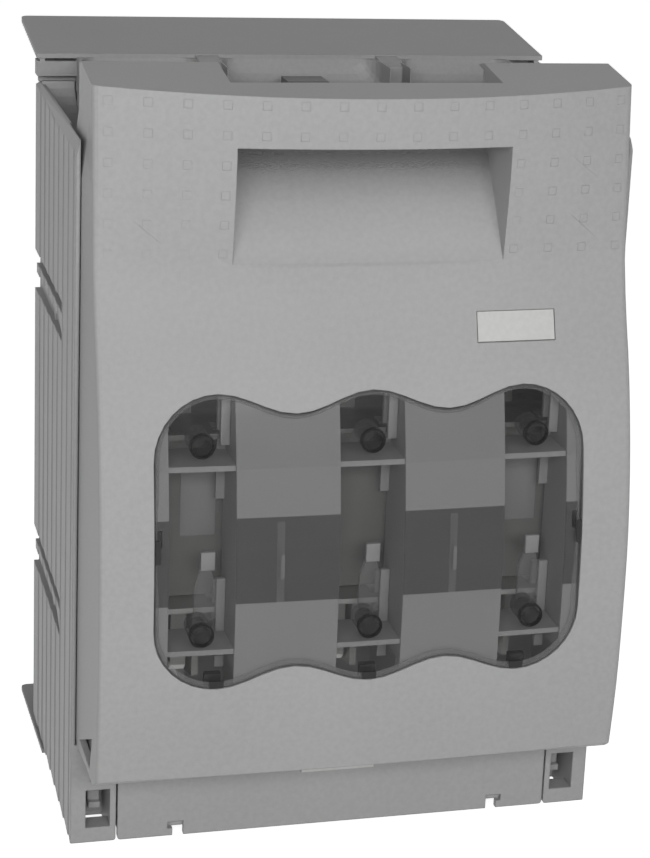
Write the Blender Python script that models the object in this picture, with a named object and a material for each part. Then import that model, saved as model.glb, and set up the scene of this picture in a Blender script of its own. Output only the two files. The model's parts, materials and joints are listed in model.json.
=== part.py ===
"""Three-pole fuse switch disconnector with a hinged fuse-carrier cover.

Metres, +Z up. The wall that carries the switch is the plane y = 0 and the front faces -Y, so a
depth below is a distance forward of the wall, y = -depth. Heights are measured from the bottom
edge of the base. The model's origin is the middle of the mounting face.
"""
import bpy
import bmesh
import math

# Poles and clearances
POLE_PITCH = 0.063
CLEAR = 0.0003

# Base housing
BASE_WIDTH = 0.210
BASE_HEIGHT = 0.2755
ORIGIN_HEIGHT = 0.146
FRAME_DEPTH = 0.049
BASE_FRONT = 0.169
SIDE_WALL = 0.0027
WALL_REBATE = 0.0009
REBATE_START = 0.1365
WALL_LIP = 0.0011
WALL_FALL_REAR = 0.001
WALL_FALL_FRONT = 0.0055
FLOOR_FRONT = 0.1017
FLOOR_THICK = 0.003
FLOOR_LOW = 0.004
FLOOR_HIGH = 0.262
RIB_PITCH = 0.014
RIB_FIRST = 0.0148
RIB_HEIGHT = 0.0004
COVE_BACK = 0.0562
COVE_THICK = 0.002
COVE_RISE = 0.0013
COVE_INNER = 0.0905
BARRIER_THICK = 0.003
BARRIER_FRONT = 0.141
BARRIER_LOW = 0.030
BARRIER_HIGH = 0.262

# Grooves and rails across the side walls
GROOVE_DEPTH = 0.0025
GROOVE_LENGTH = 0.084
GROOVE_WIDTH = 0.008
RAIL_WIDTH = 0.0039
RAIL_GAP = 0.0044
RAIL_START = 0.0058
GROOVE_BACKING = 0.003
LOWER_GROOVE_HEIGHT = 0.0704
UPPER_GROOVE_HEIGHT = 0.1902

# Corner posts beside the lower strip
POST_WIDTH = 0.0176
POST_HEIGHT = 0.0255
POST_DEPTH = 0.032
POST_ROUND = 0.001
SHOULDER_HEIGHT = 0.0416
SOCKET_WIDTH = 0.0094
SOCKET_HEIGHT = 0.0158
SOCKET_LOW = 0.0062
SOCKET_DEPTH = 0.022
SOCKET_FLOOR = 0.0085
SOCKET_HOOK = 0.0045
POST_RIM = 0.0023

# Mounting frame
FRAME_WIDTH = 0.194
FRAME_LOW = 0.020
FRAME_HIGH = 0.262
FRAME_WALL = 0.0035
FRAME_RIB = 0.016
FRAME_BOSS = 0.008
FRAME_HOLE = 0.0033

# Terminal shrouds
SHROUD_WIDTH = 0.2112
SHROUD_THICK = 0.0019
SHROUD_CORNER = 0.0028
WEB_DEPTH = 0.017
WEB_THICK = 0.0025
TOP_FRONT = 0.0564
TOP_REAR = 0.0002
TOP_RISE = 0.0123
TOP_SLOPE = 0.0067
PARTITION_X = 0.0375
PARTITION_THICK = 0.009
PARTITION_NOSE = 0.012
SCOOP_DEPTH = 0.026
SCOOP_DROP = 0.0133
SCOOP_ROUND = 0.0115
SCOOP_WALL = 0.002
SCOOP_CORNER = 0.004
END_WALL = 0.006
END_DROP = 0.0031
END_SLOT = 0.0031
END_TIE = 0.002
SHROUD_END = 0.014
BOTTOM_FRONT = 0.085
BOTTOM_REAR = 0.0065
BOTTOM_FRONT_HEIGHT = -0.0004
BOTTOM_REAR_HEIGHT = -0.0064

# Lower strip cover
STRIP_GAP = 0.0007
STRIP_HEIGHT = 0.0255
STRIP_THICK = 0.0025
STRIP_ROUND = 0.0012
STRIP_FLANGE = 0.012
STRIP_NOTCH_X = 0.064
STRIP_NOTCH_SHIFT = 0.001
STRIP_NOTCH_WIDTH = 0.0043
STRIP_NOTCH_HEIGHT = 0.0058
STRIP_TAB = 0.0015
STRIP_TAB_LOW = 0.003
TAG_WIDTH = 0.0292
TAG_HEIGHT = 0.0014

# Cover
COVER_GAP = 0.0018
COVER_WALL = 0.0025
FLARE_TOP = 0.282
FLARE_RUN = 0.020
COVER_EDGE = 0.002
COVER_LOW = 0.0428
COVER_CREASE = 0.231
COVER_TOP = 0.2962
COVER_TOP_DEPTH = 0.175
COVER_TOP_RISE = 0.1336
COVER_REAR = 0.1473
COVER_BULGE_LOW = 0.0023
COVER_BULGE_CREASE = 0.003
COVER_BULGE_TOP = 0.0155
# height, depth of the cover's front at its side edges, below the crease
COVER_PROFILE = (
    (0.030, 0.2020), (0.0428, 0.2042), (0.070, 0.2071), (0.100, 0.2078), (0.130, 0.2069),
    (0.160, 0.2026), (0.190, 0.1952), (0.215, 0.1863), (0.231, 0.1818),
)
SKIRT_REAR_TOP = 0.1418
SKIRT_REAR_LOW = 0.150
SKIRT_LOW = 0.0434
SKIRT_STEP = 0.0016
SKIRT_CORNER_RISE = 0.0041
BOTTOM_FLANGE = 0.010
# depth, height of the three-cornered opening low in each skirt
SKIRT_WINDOW = ((0.1745, 0.0465), (0.1965, 0.0571), (0.1925, 0.0430))

# Handle
HANDLE_WIDTH = 0.1016
HANDLE_LOW = 0.276
HANDLE_REAR = 0.1717
GRIP_LOW = 0.233
GRIP_REAR = 0.150
GRIP_HIGH = 0.2888

# Square pads on the cover
PAD_SIZE = 0.003
PAD_RAISE = 0.0003
PAD_PITCH_X = 0.01362
PAD_PITCH_Z = 0.01082
PAD_TOP = 0.2913
PAD_COLUMNS = 15
PAD_ROWS = 6
PAD_FULL_ROWS = 2

# Marker plate
MARKER_X = 0.0556
MARKER_Z = 0.2092
MARKER_WIDTH = 0.030
MARKER_HEIGHT = 0.0105
MARKER_THICK = 0.0007

# Viewing window
WINDOW_LOBE_X = 0.0575
WINDOW_LOBE_RADIUS = 0.0235
WINDOW_TOP = 0.1888
WINDOW_BOTTOM = 0.0795
WINDOW_WAVE = 0.00375
WINDOW_THICK = 0.0022
WINDOW_SINK = 0.00025
SOCKET_RADIUS = 0.0045
SOCKET_BORE = 0.0033
SOCKET_LENGTH = 0.013
SOCKET_END = 0.0015
CLIP_WIDTH = 0.006
CLIP_THICK = 0.003
CLIP_REACH = 0.005
CLIP_PITCH = 0.0585

# Printed insert and fuse carrier plate
INSERT_THICK = 0.0005
INSERT_HALF = 0.086
INSERT_LOW = 0.070
INSERT_HIGH = 0.204
CARRIER_THICK = 0.0025
CARRIER_SIDE_GAP = 0.001
CARRIER_LOW = 0.062
CARRIER_HIGH = 0.212
SLOT_WIDTH = 0.0246
SLOT_LOW = 0.078
SLOT_HIGH = 0.198
RAIL_HEIGHTS = (0.0925, 0.1615)
SHELF_THICK = 0.002
SHELF_DEPTH = 0.0215
CHANNEL_THICK = 0.002
CHANNEL_REAR = 0.1785
FLANGE_WIDTH = 0.0033
FLANGE_THICK = 0.002
FLANGE_SPANS = ((0.088, 0.111), (0.143, 0.192))

# Fuse links
FUSE_CENTRE = 0.135
FUSE_BODY_HEIGHT = 0.066
FUSE_BODY_WIDTH = 0.054
FUSE_BODY_DEPTH = 0.052
FUSE_FRONT = 0.173
FUSE_ROUND = 0.006
END_PLATE = 0.002
BLADE_THICK = 0.006
BLADE_WIDTH = 0.028
BLADE_LENGTH = 0.035
BLADE_FRONT = 0.160
LUG_NECK = 0.015
LUG_HEAD = 0.023
LUG_HEAD_DEPTH = 0.0045

# Fuse tongues
TONGUE_X = 0.0053
TONGUE_TIP_WIDTH = 0.0053
TONGUE_WIDTH = 0.008
TONGUE_DEPTH = 0.1865
TONGUE_THICK = 0.002
TONGUE_LOW = 0.105
TONGUE_HIGH = 0.1245
TONGUE_TIP = 0.0068

# Contacts
JAW_THICK = 0.0025
JAW_HEIGHT = 0.028
JAW_FRONT = 0.162
JAW_FLARE = 0.0018
JAW_END_GAP = 0.008
BAR_WIDTH = 0.025
BAR_THICK = 0.005
BAR_TOP = 0.259
BAR_BOTTOM = 0.008
BOLT_RADIUS = 0.005
BOLT_HEAD = 0.0085
BOLT_HEAD_HEIGHT = 0.0065
BOLT_UPPER = 0.240
BOLT_LOWER = 0.038
WASHER_RADIUS = 0.010
WASHER_THICK = 0.002
TERMINAL_RISE = 0.001
TERMINAL_GAP = 0.0015
NUT_THICK = 0.008
SPRING_THICK = 0.0012
SPRING_GAP = 0.0003

# Hinge
HINGE_DEPTH = 0.165
HINGE_HEIGHT = 0.036
PIN_RADIUS = 0.0022
EAR_THICK = 0.0025
EAR_RADIUS = 0.005
LUG_THICK = 0.0034
LUG_RADIUS = 0.0062
HINGE_SIDE_GAP = 0.0005

# Catch block
CATCH_WIDTH = 0.0165
CATCH_LEFT = 0.0089
CATCH_RAMP = 0.009
CATCH_DEPTH = 0.012
CATCH_HEIGHT = 0.0062

# Arc chambers over the upper contacts
ARC_PLATES = 5
ARC_PLATE_THICK = 0.0015
ARC_PLATE_PITCH = 0.0055
ARC_WIDTH = 0.046
ARC_DEPTH = 0.024
ARC_SIDE = 0.002
ARC_LOW = 0.214

POLES = (-POLE_PITCH, 0.0, POLE_PITCH)
BASE_HALF = BASE_WIDTH / 2
BASE_INNER = BASE_HALF - SIDE_WALL
REBATE_HALF = BASE_INNER + WALL_REBATE
COVER_HALF = BASE_INNER - COVER_GAP
COVER_REAR_HALF = REBATE_HALF - CLEAR
POST_INNER = BASE_HALF - POST_WIDTH
TOP_FRONT_HEIGHT = BASE_HEIGHT + TOP_RISE
TOP_REAR_HEIGHT = TOP_FRONT_HEIGHT + TOP_SLOPE
SCOOP_HEIGHT = TOP_FRONT_HEIGHT - SCOOP_DROP
END_WALL_HIGH = TOP_FRONT_HEIGHT - END_DROP
STRIP_HALF = POST_INNER - STRIP_GAP
SHEET_REACH = (BASE_FRONT + 0.011, COVER_PROFILE[3][1] + 0.017)
TURN_STEPS = 16

MATERIALS = {
    "housing": ((0.36, 0.36, 0.36), 0.55, 0.0),
    "shroud": ((0.33, 0.33, 0.33), 0.55, 0.0),
    "cover": ((0.38, 0.38, 0.38), 0.5, 0.0),
    "clear": ((0.75, 0.77, 0.78), 0.1, 0.0),
    "black": ((0.03, 0.03, 0.03), 0.45, 0.0),
    "white": ((0.72, 0.72, 0.72), 0.5, 0.0),
    "insert": ((0.30, 0.30, 0.30), 0.6, 0.0),
    "ceramic": ((0.62, 0.61, 0.58), 0.6, 0.0),
    "silver": ((0.70, 0.70, 0.70), 0.3, 1.0),
    "copper": ((0.62, 0.60, 0.57), 0.35, 1.0),
    "steel": ((0.50, 0.50, 0.50), 0.35, 1.0),
    "frame": ((0.24, 0.24, 0.24), 0.6, 0.0),
}


def clear_scene():
    for thing in list(bpy.data.objects):
        bpy.data.objects.remove(thing, do_unlink=True)


def empty(name, place, parent=None):
    thing = bpy.data.objects.new(name, None)
    thing.location = place
    thing.parent = parent
    bpy.context.collection.objects.link(thing)
    return thing


def material(name):
    found = bpy.data.materials.get(name)
    if found:
        return found
    colour, roughness, metallic = MATERIALS[name]
    made = bpy.data.materials.new(name)
    made.use_nodes = True
    shader = made.node_tree.nodes["Principled BSDF"]
    shader.inputs["Base Color"].default_value = (*colour, 1.0)
    shader.inputs["Roughness"].default_value = roughness
    shader.inputs["Metallic"].default_value = metallic
    return made


def as_object(shape, name="shape"):
    """Turns a bmesh into an object with its faces pointing out."""
    bmesh.ops.recalc_face_normals(shape, faces=shape.faces)
    mesh = bpy.data.meshes.new(name)
    shape.to_mesh(mesh)
    shape.free()
    thing = bpy.data.objects.new(name, mesh)
    bpy.context.collection.objects.link(thing)
    return thing


def loft(loops):
    """A closed solid through loops of points that match one to one."""
    shape = bmesh.new()
    rings = [[shape.verts.new(point) for point in loop] for loop in loops]
    shape.faces.new(rings[0])
    shape.faces.new(rings[-1])
    for lower, upper in zip(rings, rings[1:]):
        for i in range(len(lower)):
            shape.faces.new((lower[i - 1], lower[i], upper[i], upper[i - 1]))
    return as_object(shape)


def prism(axis, outline, low, high):
    """An outline swept along X, Y or Z: outlines are (depth, height), (x, height), (x, depth)."""
    place = {
        "X": lambda a, b, t: (t, -a, b),
        "Y": lambda a, b, t: (a, -t, b),
        "Z": lambda a, b, t: (a, -b, t),
    }[axis]
    return loft([[place(a, b, t) for a, b in outline] for t in (low, high)])


def box(x, depth, height):
    """A box from pairs of limits."""
    outline = ((x[0], height[0]), (x[1], height[0]), (x[1], height[1]), (x[0], height[1]))
    return prism("Y", outline, depth[0], depth[1])


def arc(centre, radius, start, end, steps=8):
    """Points on a circle between two angles in degrees."""
    turns = [math.radians(start + (end - start) * i / steps) for i in range(steps + 1)]
    return [(centre[0] + radius * math.cos(t), centre[1] + radius * math.sin(t)) for t in turns]


def disc(centre, radius, steps=TURN_STEPS):
    return arc(centre, radius, 0, 360 - 360 / steps, steps - 1)


def rounded(x, y, radius, steps=4):
    """A rectangle with round corners."""
    return (arc((x[1] - radius, y[1] - radius), radius, 0, 90, steps)
            + arc((x[0] + radius, y[1] - radius), radius, 90, 180, steps)
            + arc((x[0] + radius, y[0] + radius), radius, 180, 270, steps)
            + arc((x[1] - radius, y[0] + radius), radius, 270, 360, steps))


def boolean(target, tool, operation):
    cut_by = target.modifiers.new(operation, "BOOLEAN")
    cut_by.operation = operation
    cut_by.solver = "EXACT"
    cut_by.object = tool
    result = target.evaluated_get(bpy.context.evaluated_depsgraph_get())
    mesh = bpy.data.meshes.new_from_object(result)
    target.modifiers.clear()
    target.data = mesh
    bpy.data.objects.remove(tool, do_unlink=True)
    return target


def add(target, *tools):
    for tool in tools:
        boolean(target, tool, "UNION")
    return target


def cut(target, *tools):
    for tool in tools:
        boolean(target, tool, "DIFFERENCE")
    return target


def keep(target, tool):
    return boolean(target, tool, "INTERSECT")


def group(*things):
    """Several separate solids in one object."""
    shape = bmesh.new()
    for thing in things:
        shape.from_mesh(thing.data)
        bpy.data.objects.remove(thing, do_unlink=True)
    return as_object(shape)


def span(side, near, far):
    """Limits in x on one side of the middle plane, in rising order."""
    return tuple(sorted((side * near, side * far)))


def finish(thing, name, finish_name, parent, smooth=30):
    """Names a piece, gives it its material and hangs it on its parent without moving it."""
    tidy = bmesh.new()
    tidy.from_mesh(thing.data)
    bmesh.ops.remove_doubles(tidy, verts=tidy.verts, dist=1e-6)
    bmesh.ops.dissolve_degenerate(tidy, edges=tidy.edges, dist=1e-6)
    bmesh.ops.recalc_face_normals(tidy, faces=tidy.faces)
    tidy.to_mesh(thing.data)
    tidy.free()
    thing.name = name
    thing.data.name = name
    thing.data.materials.clear()
    thing.data.materials.append(material(finish_name))
    thing.data.shade_smooth()
    thing.data.set_sharp_from_angle(angle=math.radians(smooth))
    thing.parent = parent
    thing.location = -parent.location if parent.parent else (0, 0, 0)
    return thing


# The cover's front surface

def through(points, at):
    """A smooth curve through (position, value) points."""
    positions = [p for p, _ in points]
    values = [v for _, v in points]
    last = len(points) - 1
    if at <= positions[0]:
        return values[0]
    if at >= positions[last]:
        return values[last]
    i = max(k for k in range(last) if positions[k] <= at)

    def slope(k):
        a, b = max(k - 1, 0), min(k + 1, last)
        return (values[b] - values[a]) / (positions[b] - positions[a])

    width = positions[i + 1] - positions[i]
    t = (at - positions[i]) / width
    return ((2 * t**3 - 3 * t**2 + 1) * values[i] + (t**3 - 2 * t**2 + t) * width * slope(i)
            + (3 * t**2 - 2 * t**3) * values[i + 1] + (t**3 - t**2) * width * slope(i + 1))


def cover_face(x, height):
    """Depth of the cover's outer surface: bowed across, fullest along the handle."""
    if height < COVER_CREASE:
        edge = through(COVER_PROFILE, height)
        t = min(1.0, max(0.0, (height - COVER_CREASE + 0.03) / 0.03))
        bulge = COVER_BULGE_LOW + (COVER_BULGE_CREASE - COVER_BULGE_LOW) * t
    else:
        t = min(1.0, (height - COVER_CREASE) / (COVER_TOP - COVER_CREASE))
        edge = COVER_PROFILE[-1][1] + (COVER_TOP_DEPTH - COVER_PROFILE[-1][1]) * t
        bulge = COVER_BULGE_CREASE + (COVER_BULGE_TOP - COVER_BULGE_CREASE) * math.sin(t * math.pi / 2)
    across = min(1.0, abs(x) / COVER_HALF)
    rim = max(0.0, (abs(x) - COVER_HALF + COVER_EDGE) / COVER_EDGE)
    return edge + bulge * (1 - across**2) - COVER_EDGE * (1 - math.sqrt(max(0.0, 1 - rim**2)))


def steps_between(low, high, pitch, extra=()):
    """Evenly spaced values from low to high, with some extra ones set in."""
    count = max(1, round((high - low) / pitch))
    values = [low + (high - low) * i / count for i in range(count + 1)]
    values = [v for v in values if v in (low, high) or all(abs(v - e) > pitch / 4 for e in extra)]
    return sorted(values + [e for e in extra if low < e < high])


def flare(height):
    """How far each side stands out where the cover enters the base: nothing above the base."""
    part = min(1.0, max(0.0, (FLARE_TOP - height) / FLARE_RUN))
    return (COVER_REAR_HALF - COVER_HALF) * part


def curved(x, height, front, back, pitch=0.0125, rows=0.0105, extra_x=()):
    """A solid whose front follows the cover's surface, at an offset behind it.

    Its back is a like surface at the offset back, or, where back is None, a plane behind the cover,
    which the flared sides reach.
    """
    columns = steps_between(x[0], x[1], pitch, extra_x)
    levels = steps_between(height[0], height[1], rows, (COVER_CREASE, FLARE_TOP - FLARE_RUN, FLARE_TOP))
    shape = bmesh.new()

    def sheet(offset):
        return [[shape.verts.new((a, -(cover_face(a, b) - offset), b)) for a in columns] for b in levels]

    def wide(depth):
        return [[shape.verts.new((a * (1 + flare(b) / x[1]), -depth, b)) for a in columns] for b in levels]

    layers = [sheet(front)] + ([wide(BASE_FRONT), wide(COVER_REAR - 0.030)] if back is None else [sheet(back)])
    for grid in (layers[0], layers[-1]):
        for r in range(len(levels) - 1):
            for c in range(len(columns) - 1):
                shape.faces.new((grid[r][c], grid[r][c + 1], grid[r + 1][c + 1], grid[r + 1][c]))
    for outer, inner in zip(layers, layers[1:]):
        for r in (0, len(levels) - 1):
            for c in range(len(columns) - 1):
                shape.faces.new((outer[r][c], outer[r][c + 1], inner[r][c + 1], inner[r][c]))
        for c in (0, len(columns) - 1):
            for r in range(len(levels) - 1):
                shape.faces.new((outer[r][c], outer[r + 1][c], inner[r + 1][c], inner[r][c]))
    if back is None:
        loose = [v for row in layers[1][1:-1] for v in row[1:-1]]
        bmesh.ops.delete(shape, geom=loose, context="VERTS")
    return as_object(shape)


def top_height(depth):
    """Height of the cover's sloping top at a depth."""
    return COVER_TOP - COVER_TOP_RISE * (depth - COVER_TOP_DEPTH)


# Base

def side_wall(side):
    """A side wall, drawn from above: shallow ribs, a round nose and a rebate for the cover's skirt."""
    first = FRAME_DEPTH + RIB_FIRST
    count = int((BASE_FRONT - first) / RIB_PITCH)
    outline = [(REBATE_HALF, REBATE_START), (BASE_INNER, REBATE_START), (BASE_INNER, FRAME_DEPTH),
               (BASE_HALF, FRAME_DEPTH)]
    for i in range(count + 1):
        edge = first + i * RIB_PITCH
        outline += [(BASE_HALF, edge - RIB_HEIGHT), (BASE_HALF - RIB_HEIGHT, edge)]
    radius = (BASE_HALF - REBATE_HALF) / 2
    outline += arc((BASE_HALF - radius, BASE_FRONT - radius), radius, 0, 180, 8)
    return prism("Z", [(side * x, depth) for x, depth in outline], 0.0, BASE_HEIGHT)


def wall_slope(side):
    """Trims the outer top edge of a side wall, more towards the front."""
    inner, outer = BASE_INNER + WALL_LIP, BASE_HALF + 0.001

    def section(depth, fall):
        low = BASE_HEIGHT - fall * (outer - inner) / (BASE_HALF - inner)
        return [(side * x, -depth, z) for x, z in ((inner, BASE_HEIGHT), (outer, low), (outer, BASE_HEIGHT + 0.001),
                                                   (inner, BASE_HEIGHT + 0.001))]

    return loft([section(FRAME_DEPTH - 0.001, WALL_FALL_REAR), section(BASE_FRONT + 0.001, WALL_FALL_FRONT)])


def cove(side):
    """The hollow-curved wall that closes the base from its floor up to its top edge, beside the scoops."""
    high = BASE_HEIGHT + COVE_RISE
    reach, drop = FLOOR_FRONT - COVE_BACK, high - FLOOR_HIGH

    def curve(grow):
        turns = [math.radians(180 + 90 * i / 8) for i in range(9)]
        return [(FLOOR_FRONT + (reach + grow) * math.cos(t), high + (drop + grow) * math.sin(t)) for t in turns]

    return prism("X", curve(0.0) + curve(COVE_THICK)[::-1], *span(side, COVE_INNER, BASE_INNER + 0.001))


def groove_backing(side, low):
    """Thicker wall behind a groove, inside the housing."""
    high = low + GROOVE_WIDTH + RAIL_WIDTH + RAIL_GAP + GROOVE_BACKING
    return box(span(side, BASE_INNER - GROOVE_BACKING, BASE_INNER + 0.0005),
               (FRAME_DEPTH, REBATE_START - 0.001), (low - GROOVE_BACKING, high))


def groove_cuts(side, low):
    """The wide groove, the narrow one above the rail, and the step at the rail's rear end."""
    inner, outer = BASE_HALF - GROOVE_DEPTH, BASE_HALF + 0.002
    rear = FRAME_DEPTH - 0.002
    rail_low = low + GROOVE_WIDTH
    rail_high = rail_low + RAIL_WIDTH
    taper = 0.012
    wide = prism("X", ((rear, low), (rear, rail_low), (FRAME_DEPTH + GROOVE_LENGTH - taper, rail_low),
                       (FRAME_DEPTH + GROOVE_LENGTH, low + 0.004),
                       (FRAME_DEPTH + GROOVE_LENGTH, low + 0.001)), *span(side, inner, outer))
    narrow = box(span(side, inner, outer), (rear, FRAME_DEPTH + GROOVE_LENGTH), (rail_high, rail_high + RAIL_GAP))
    end = box(span(side, inner, outer), (rear, FRAME_DEPTH + RAIL_START), (rail_low - 0.001, rail_high + 0.001))
    return [wide, narrow, end]


def post(side):
    """A lower corner post with its socket, open below at the back, and the hook inside."""
    outer = BASE_HALF - (BASE_HALF - REBATE_HALF) / 2
    outline = arc((POST_INNER + POST_ROUND, POST_ROUND), POST_ROUND, 180, 270, 4)
    outline += [(outer, 0.0), (outer, POST_HEIGHT), (POST_INNER, POST_HEIGHT)]
    back = BASE_FRONT - SOCKET_DEPTH
    block = prism("Y", [(side * x, z) for x, z in outline], BASE_FRONT - POST_DEPTH, BASE_FRONT)
    shoulder = box(span(side, hinge_x()[2][1] - 0.0002, outer), (BASE_FRONT - POST_DEPTH, BASE_FRONT),
                   (POST_HEIGHT - 0.001, SHOULDER_HEIGHT))
    add(block, shoulder)
    near = POST_INNER + POST_RIM
    high = SOCKET_LOW + SOCKET_HEIGHT
    cut(block, box(span(side, near, near + SOCKET_WIDTH), (back, BASE_FRONT + 0.002), (SOCKET_LOW, high)),
        box(span(side, near, near + SOCKET_WIDTH), (back, BASE_FRONT - SOCKET_FLOOR), (-0.001, SOCKET_LOW + 0.001)))
    middle = near + SOCKET_WIDTH / 2
    hook = prism("X", ((back - 0.001, high + 0.0005), (BASE_FRONT - 0.012, high + 0.0005), (BASE_FRONT - 0.012, 0.012),
                       (BASE_FRONT - 0.0095, 0.012), (BASE_FRONT - 0.0095, 0.0095), (BASE_FRONT - 0.016, 0.0095),
                       (BASE_FRONT - 0.016, 0.005), (back - 0.001, 0.005)),
                 *span(side, middle - SOCKET_HOOK / 2, middle + SOCKET_HOOK / 2))
    return add(block, hook)


def hinge_x():
    """Limits in x of the two ears and the lug between them, from the middle outward."""
    outer_ear = (COVER_HALF - COVER_WALL - HINGE_SIDE_GAP - EAR_THICK + 0.0002,
                 COVER_HALF - COVER_WALL - HINGE_SIDE_GAP)
    lug = (outer_ear[0] - HINGE_SIDE_GAP - LUG_THICK, outer_ear[0] - HINGE_SIDE_GAP)
    inner_ear = (lug[0] - HINGE_SIDE_GAP - EAR_THICK, lug[0] - HINGE_SIDE_GAP)
    return inner_ear, lug, outer_ear


def ear(side, limits):
    """A hinge ear that stands on a corner post."""
    outline = ([(HINGE_DEPTH - EAR_RADIUS, POST_HEIGHT - 0.001)]
               + [(HINGE_DEPTH + EAR_RADIUS * 0.7, POST_HEIGHT - 0.001)]
               + arc((HINGE_DEPTH, HINGE_HEIGHT), EAR_RADIUS, -45, 180, 8))
    return prism("X", outline, *span(side, *limits))


def pin_hole(side, limits, gap):
    return prism("X", disc((HINGE_DEPTH, HINGE_HEIGHT), PIN_RADIUS + gap),
                 *span(side, limits[0] - 0.001, limits[1] + 0.001))


def base_housing():
    """Side walls, floor, rear skirt, posts, ears and the barriers between poles."""
    floor_back = FLOOR_FRONT - FLOOR_THICK
    floor = box((-BASE_INNER - 0.001, BASE_INNER + 0.001), (floor_back, FLOOR_FRONT),
                (FLOOR_LOW, FLOOR_HIGH))
    inner = FRAME_WIDTH / 2 - FRAME_WALL - 0.001
    skirt = box((-inner, inner), (FRAME_DEPTH, floor_back + 0.001), (FRAME_LOW + 0.002, FRAME_HIGH - 0.002))
    hollow = box((-inner + SIDE_WALL, inner - SIDE_WALL), (FRAME_DEPTH - 0.001, floor_back),
                 (FRAME_LOW + 0.002 + SIDE_WALL, FRAME_HIGH - 0.002 - SIDE_WALL))
    add(floor, cut(skirt, hollow))
    for side in (1, -1):
        wall = cut(side_wall(side), wall_slope(side))
        for low in (LOWER_GROOVE_HEIGHT, UPPER_GROOVE_HEIGHT):
            add(wall, groove_backing(side, low))
            cut(wall, *groove_cuts(side, low))
        inner_ear, _, outer_ear = hinge_x()
        add(wall, post(side), ear(side, inner_ear), ear(side, outer_ear))
        cut(wall, pin_hole(side, (inner_ear[0], outer_ear[1]), 0.0001))
        barrier_x = side * POLE_PITCH / 2
        barrier = prism("X", ((FLOOR_FRONT - 0.001, BARRIER_LOW), (BARRIER_FRONT - 0.004, BARRIER_LOW),
                              (BARRIER_FRONT, BARRIER_LOW + 0.010), (BARRIER_FRONT, BARRIER_HIGH - 0.010),
                              (BARRIER_FRONT - 0.010, BARRIER_HIGH), (FLOOR_FRONT - 0.001, BARRIER_HIGH)),
                        barrier_x - BARRIER_THICK / 2, barrier_x + BARRIER_THICK / 2)
        add(floor, wall, barrier, cove(side))
    for pole in POLES:
        for height in (BOLT_LOWER, BOLT_UPPER):
            hole = prism("Y", disc((pole, height), BOLT_RADIUS + CLEAR), floor_back - 0.002, FLOOR_FRONT + 0.002)
            cut(floor, hole)
    return floor


def mounting_frame():
    """The tray between the wall and the base, open at the back, with its cross ribs and bosses."""
    half = FRAME_WIDTH / 2
    front = FRAME_DEPTH - CLEAR
    tray = prism("Y", rounded((-half, half), (FRAME_LOW, FRAME_HIGH), 0.004, 3), 0.0, front)
    hollow = box((-half + FRAME_WALL, half - FRAME_WALL), (-0.001, front - FLOOR_THICK),
                 (FRAME_LOW + FRAME_WALL, FRAME_HIGH - FRAME_WALL))
    cut(tray, hollow)
    add(tray, box((-FRAME_RIB / 2, FRAME_RIB / 2), (0.0, front - 0.001), (FRAME_LOW + 0.001, FRAME_HIGH - 0.001)))
    add(tray, box((-half + 0.001, half - 0.001), (0.0, front - 0.001),
                  (ORIGIN_HEIGHT - FRAME_RIB / 2, ORIGIN_HEIGHT + FRAME_RIB / 2)))
    for side in (1, -1):
        for height in (FRAME_LOW + FRAME_BOSS + 0.004, FRAME_HIGH - FRAME_BOSS - 0.004):
            centre = (side * (half - FRAME_BOSS - 0.004), height)
            add(tray, prism("Y", disc(centre, FRAME_BOSS), 0.0, front - 0.001))
            cut(tray, prism("Y", disc(centre, FRAME_HOLE, 12), -0.001, front - FLOOR_THICK))
    return tray


# Shrouds

def shroud_plate(front, rear, front_height, rear_height):
    """A sloping plate with round rear corners, from its upper surface."""
    half = SHROUD_WIDTH / 2
    flat = prism("Z", [(-half, front)] + arc((-half + SHROUD_CORNER, rear + SHROUD_CORNER), SHROUD_CORNER, 180, 270)
                 + arc((half - SHROUD_CORNER, rear + SHROUD_CORNER), SHROUD_CORNER, 270, 360) + [(half, front)],
                 rear_height - 0.030, rear_height + 0.030)
    slab = prism("X", ((front, front_height), (front, front_height - SHROUD_THICK),
                       (rear, rear_height - SHROUD_THICK), (rear, rear_height)),
                 -half - 0.001, half + 0.001)
    return keep(slab, flat)


def scoop(x):
    """A hollow tray under the plate's front edge, round where its back, floor and ends meet."""
    back = TOP_FRONT - SCOOP_WALL
    high = TOP_FRONT_HEIGHT - SHROUD_THICK + 0.0005
    tray = box(x, (back, back + SCOOP_DEPTH), (SCOOP_HEIGHT - SCOOP_WALL, high))
    ends = (x[0] + 0.0004, x[1] - 0.0004)

    def section(depth, inset):
        left, right, floor = ends[0] + inset * 0.7, ends[1] - inset * 0.7, SCOOP_HEIGHT + inset
        outline = ([(left, high + 0.012)] + arc((left + SCOOP_CORNER, floor + SCOOP_CORNER), SCOOP_CORNER, 180, 270, 3)
                   + arc((right - SCOOP_CORNER, floor + SCOOP_CORNER), SCOOP_CORNER, 270, 360, 3)
                   + [(right, high + 0.012)])
        return [(a, -depth, z) for a, z in outline]

    rings = []
    for i in range(7):
        turn = math.radians(90 * i / 6)
        rings.append(section(back + SCOOP_WALL + SCOOP_ROUND * (1 - math.cos(turn)),
                             SCOOP_ROUND * (1 - math.sin(turn))))
    rings.append(section(back + SCOOP_DEPTH + 0.001, 0.0))
    return cut(tray, loft(rings))


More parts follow.
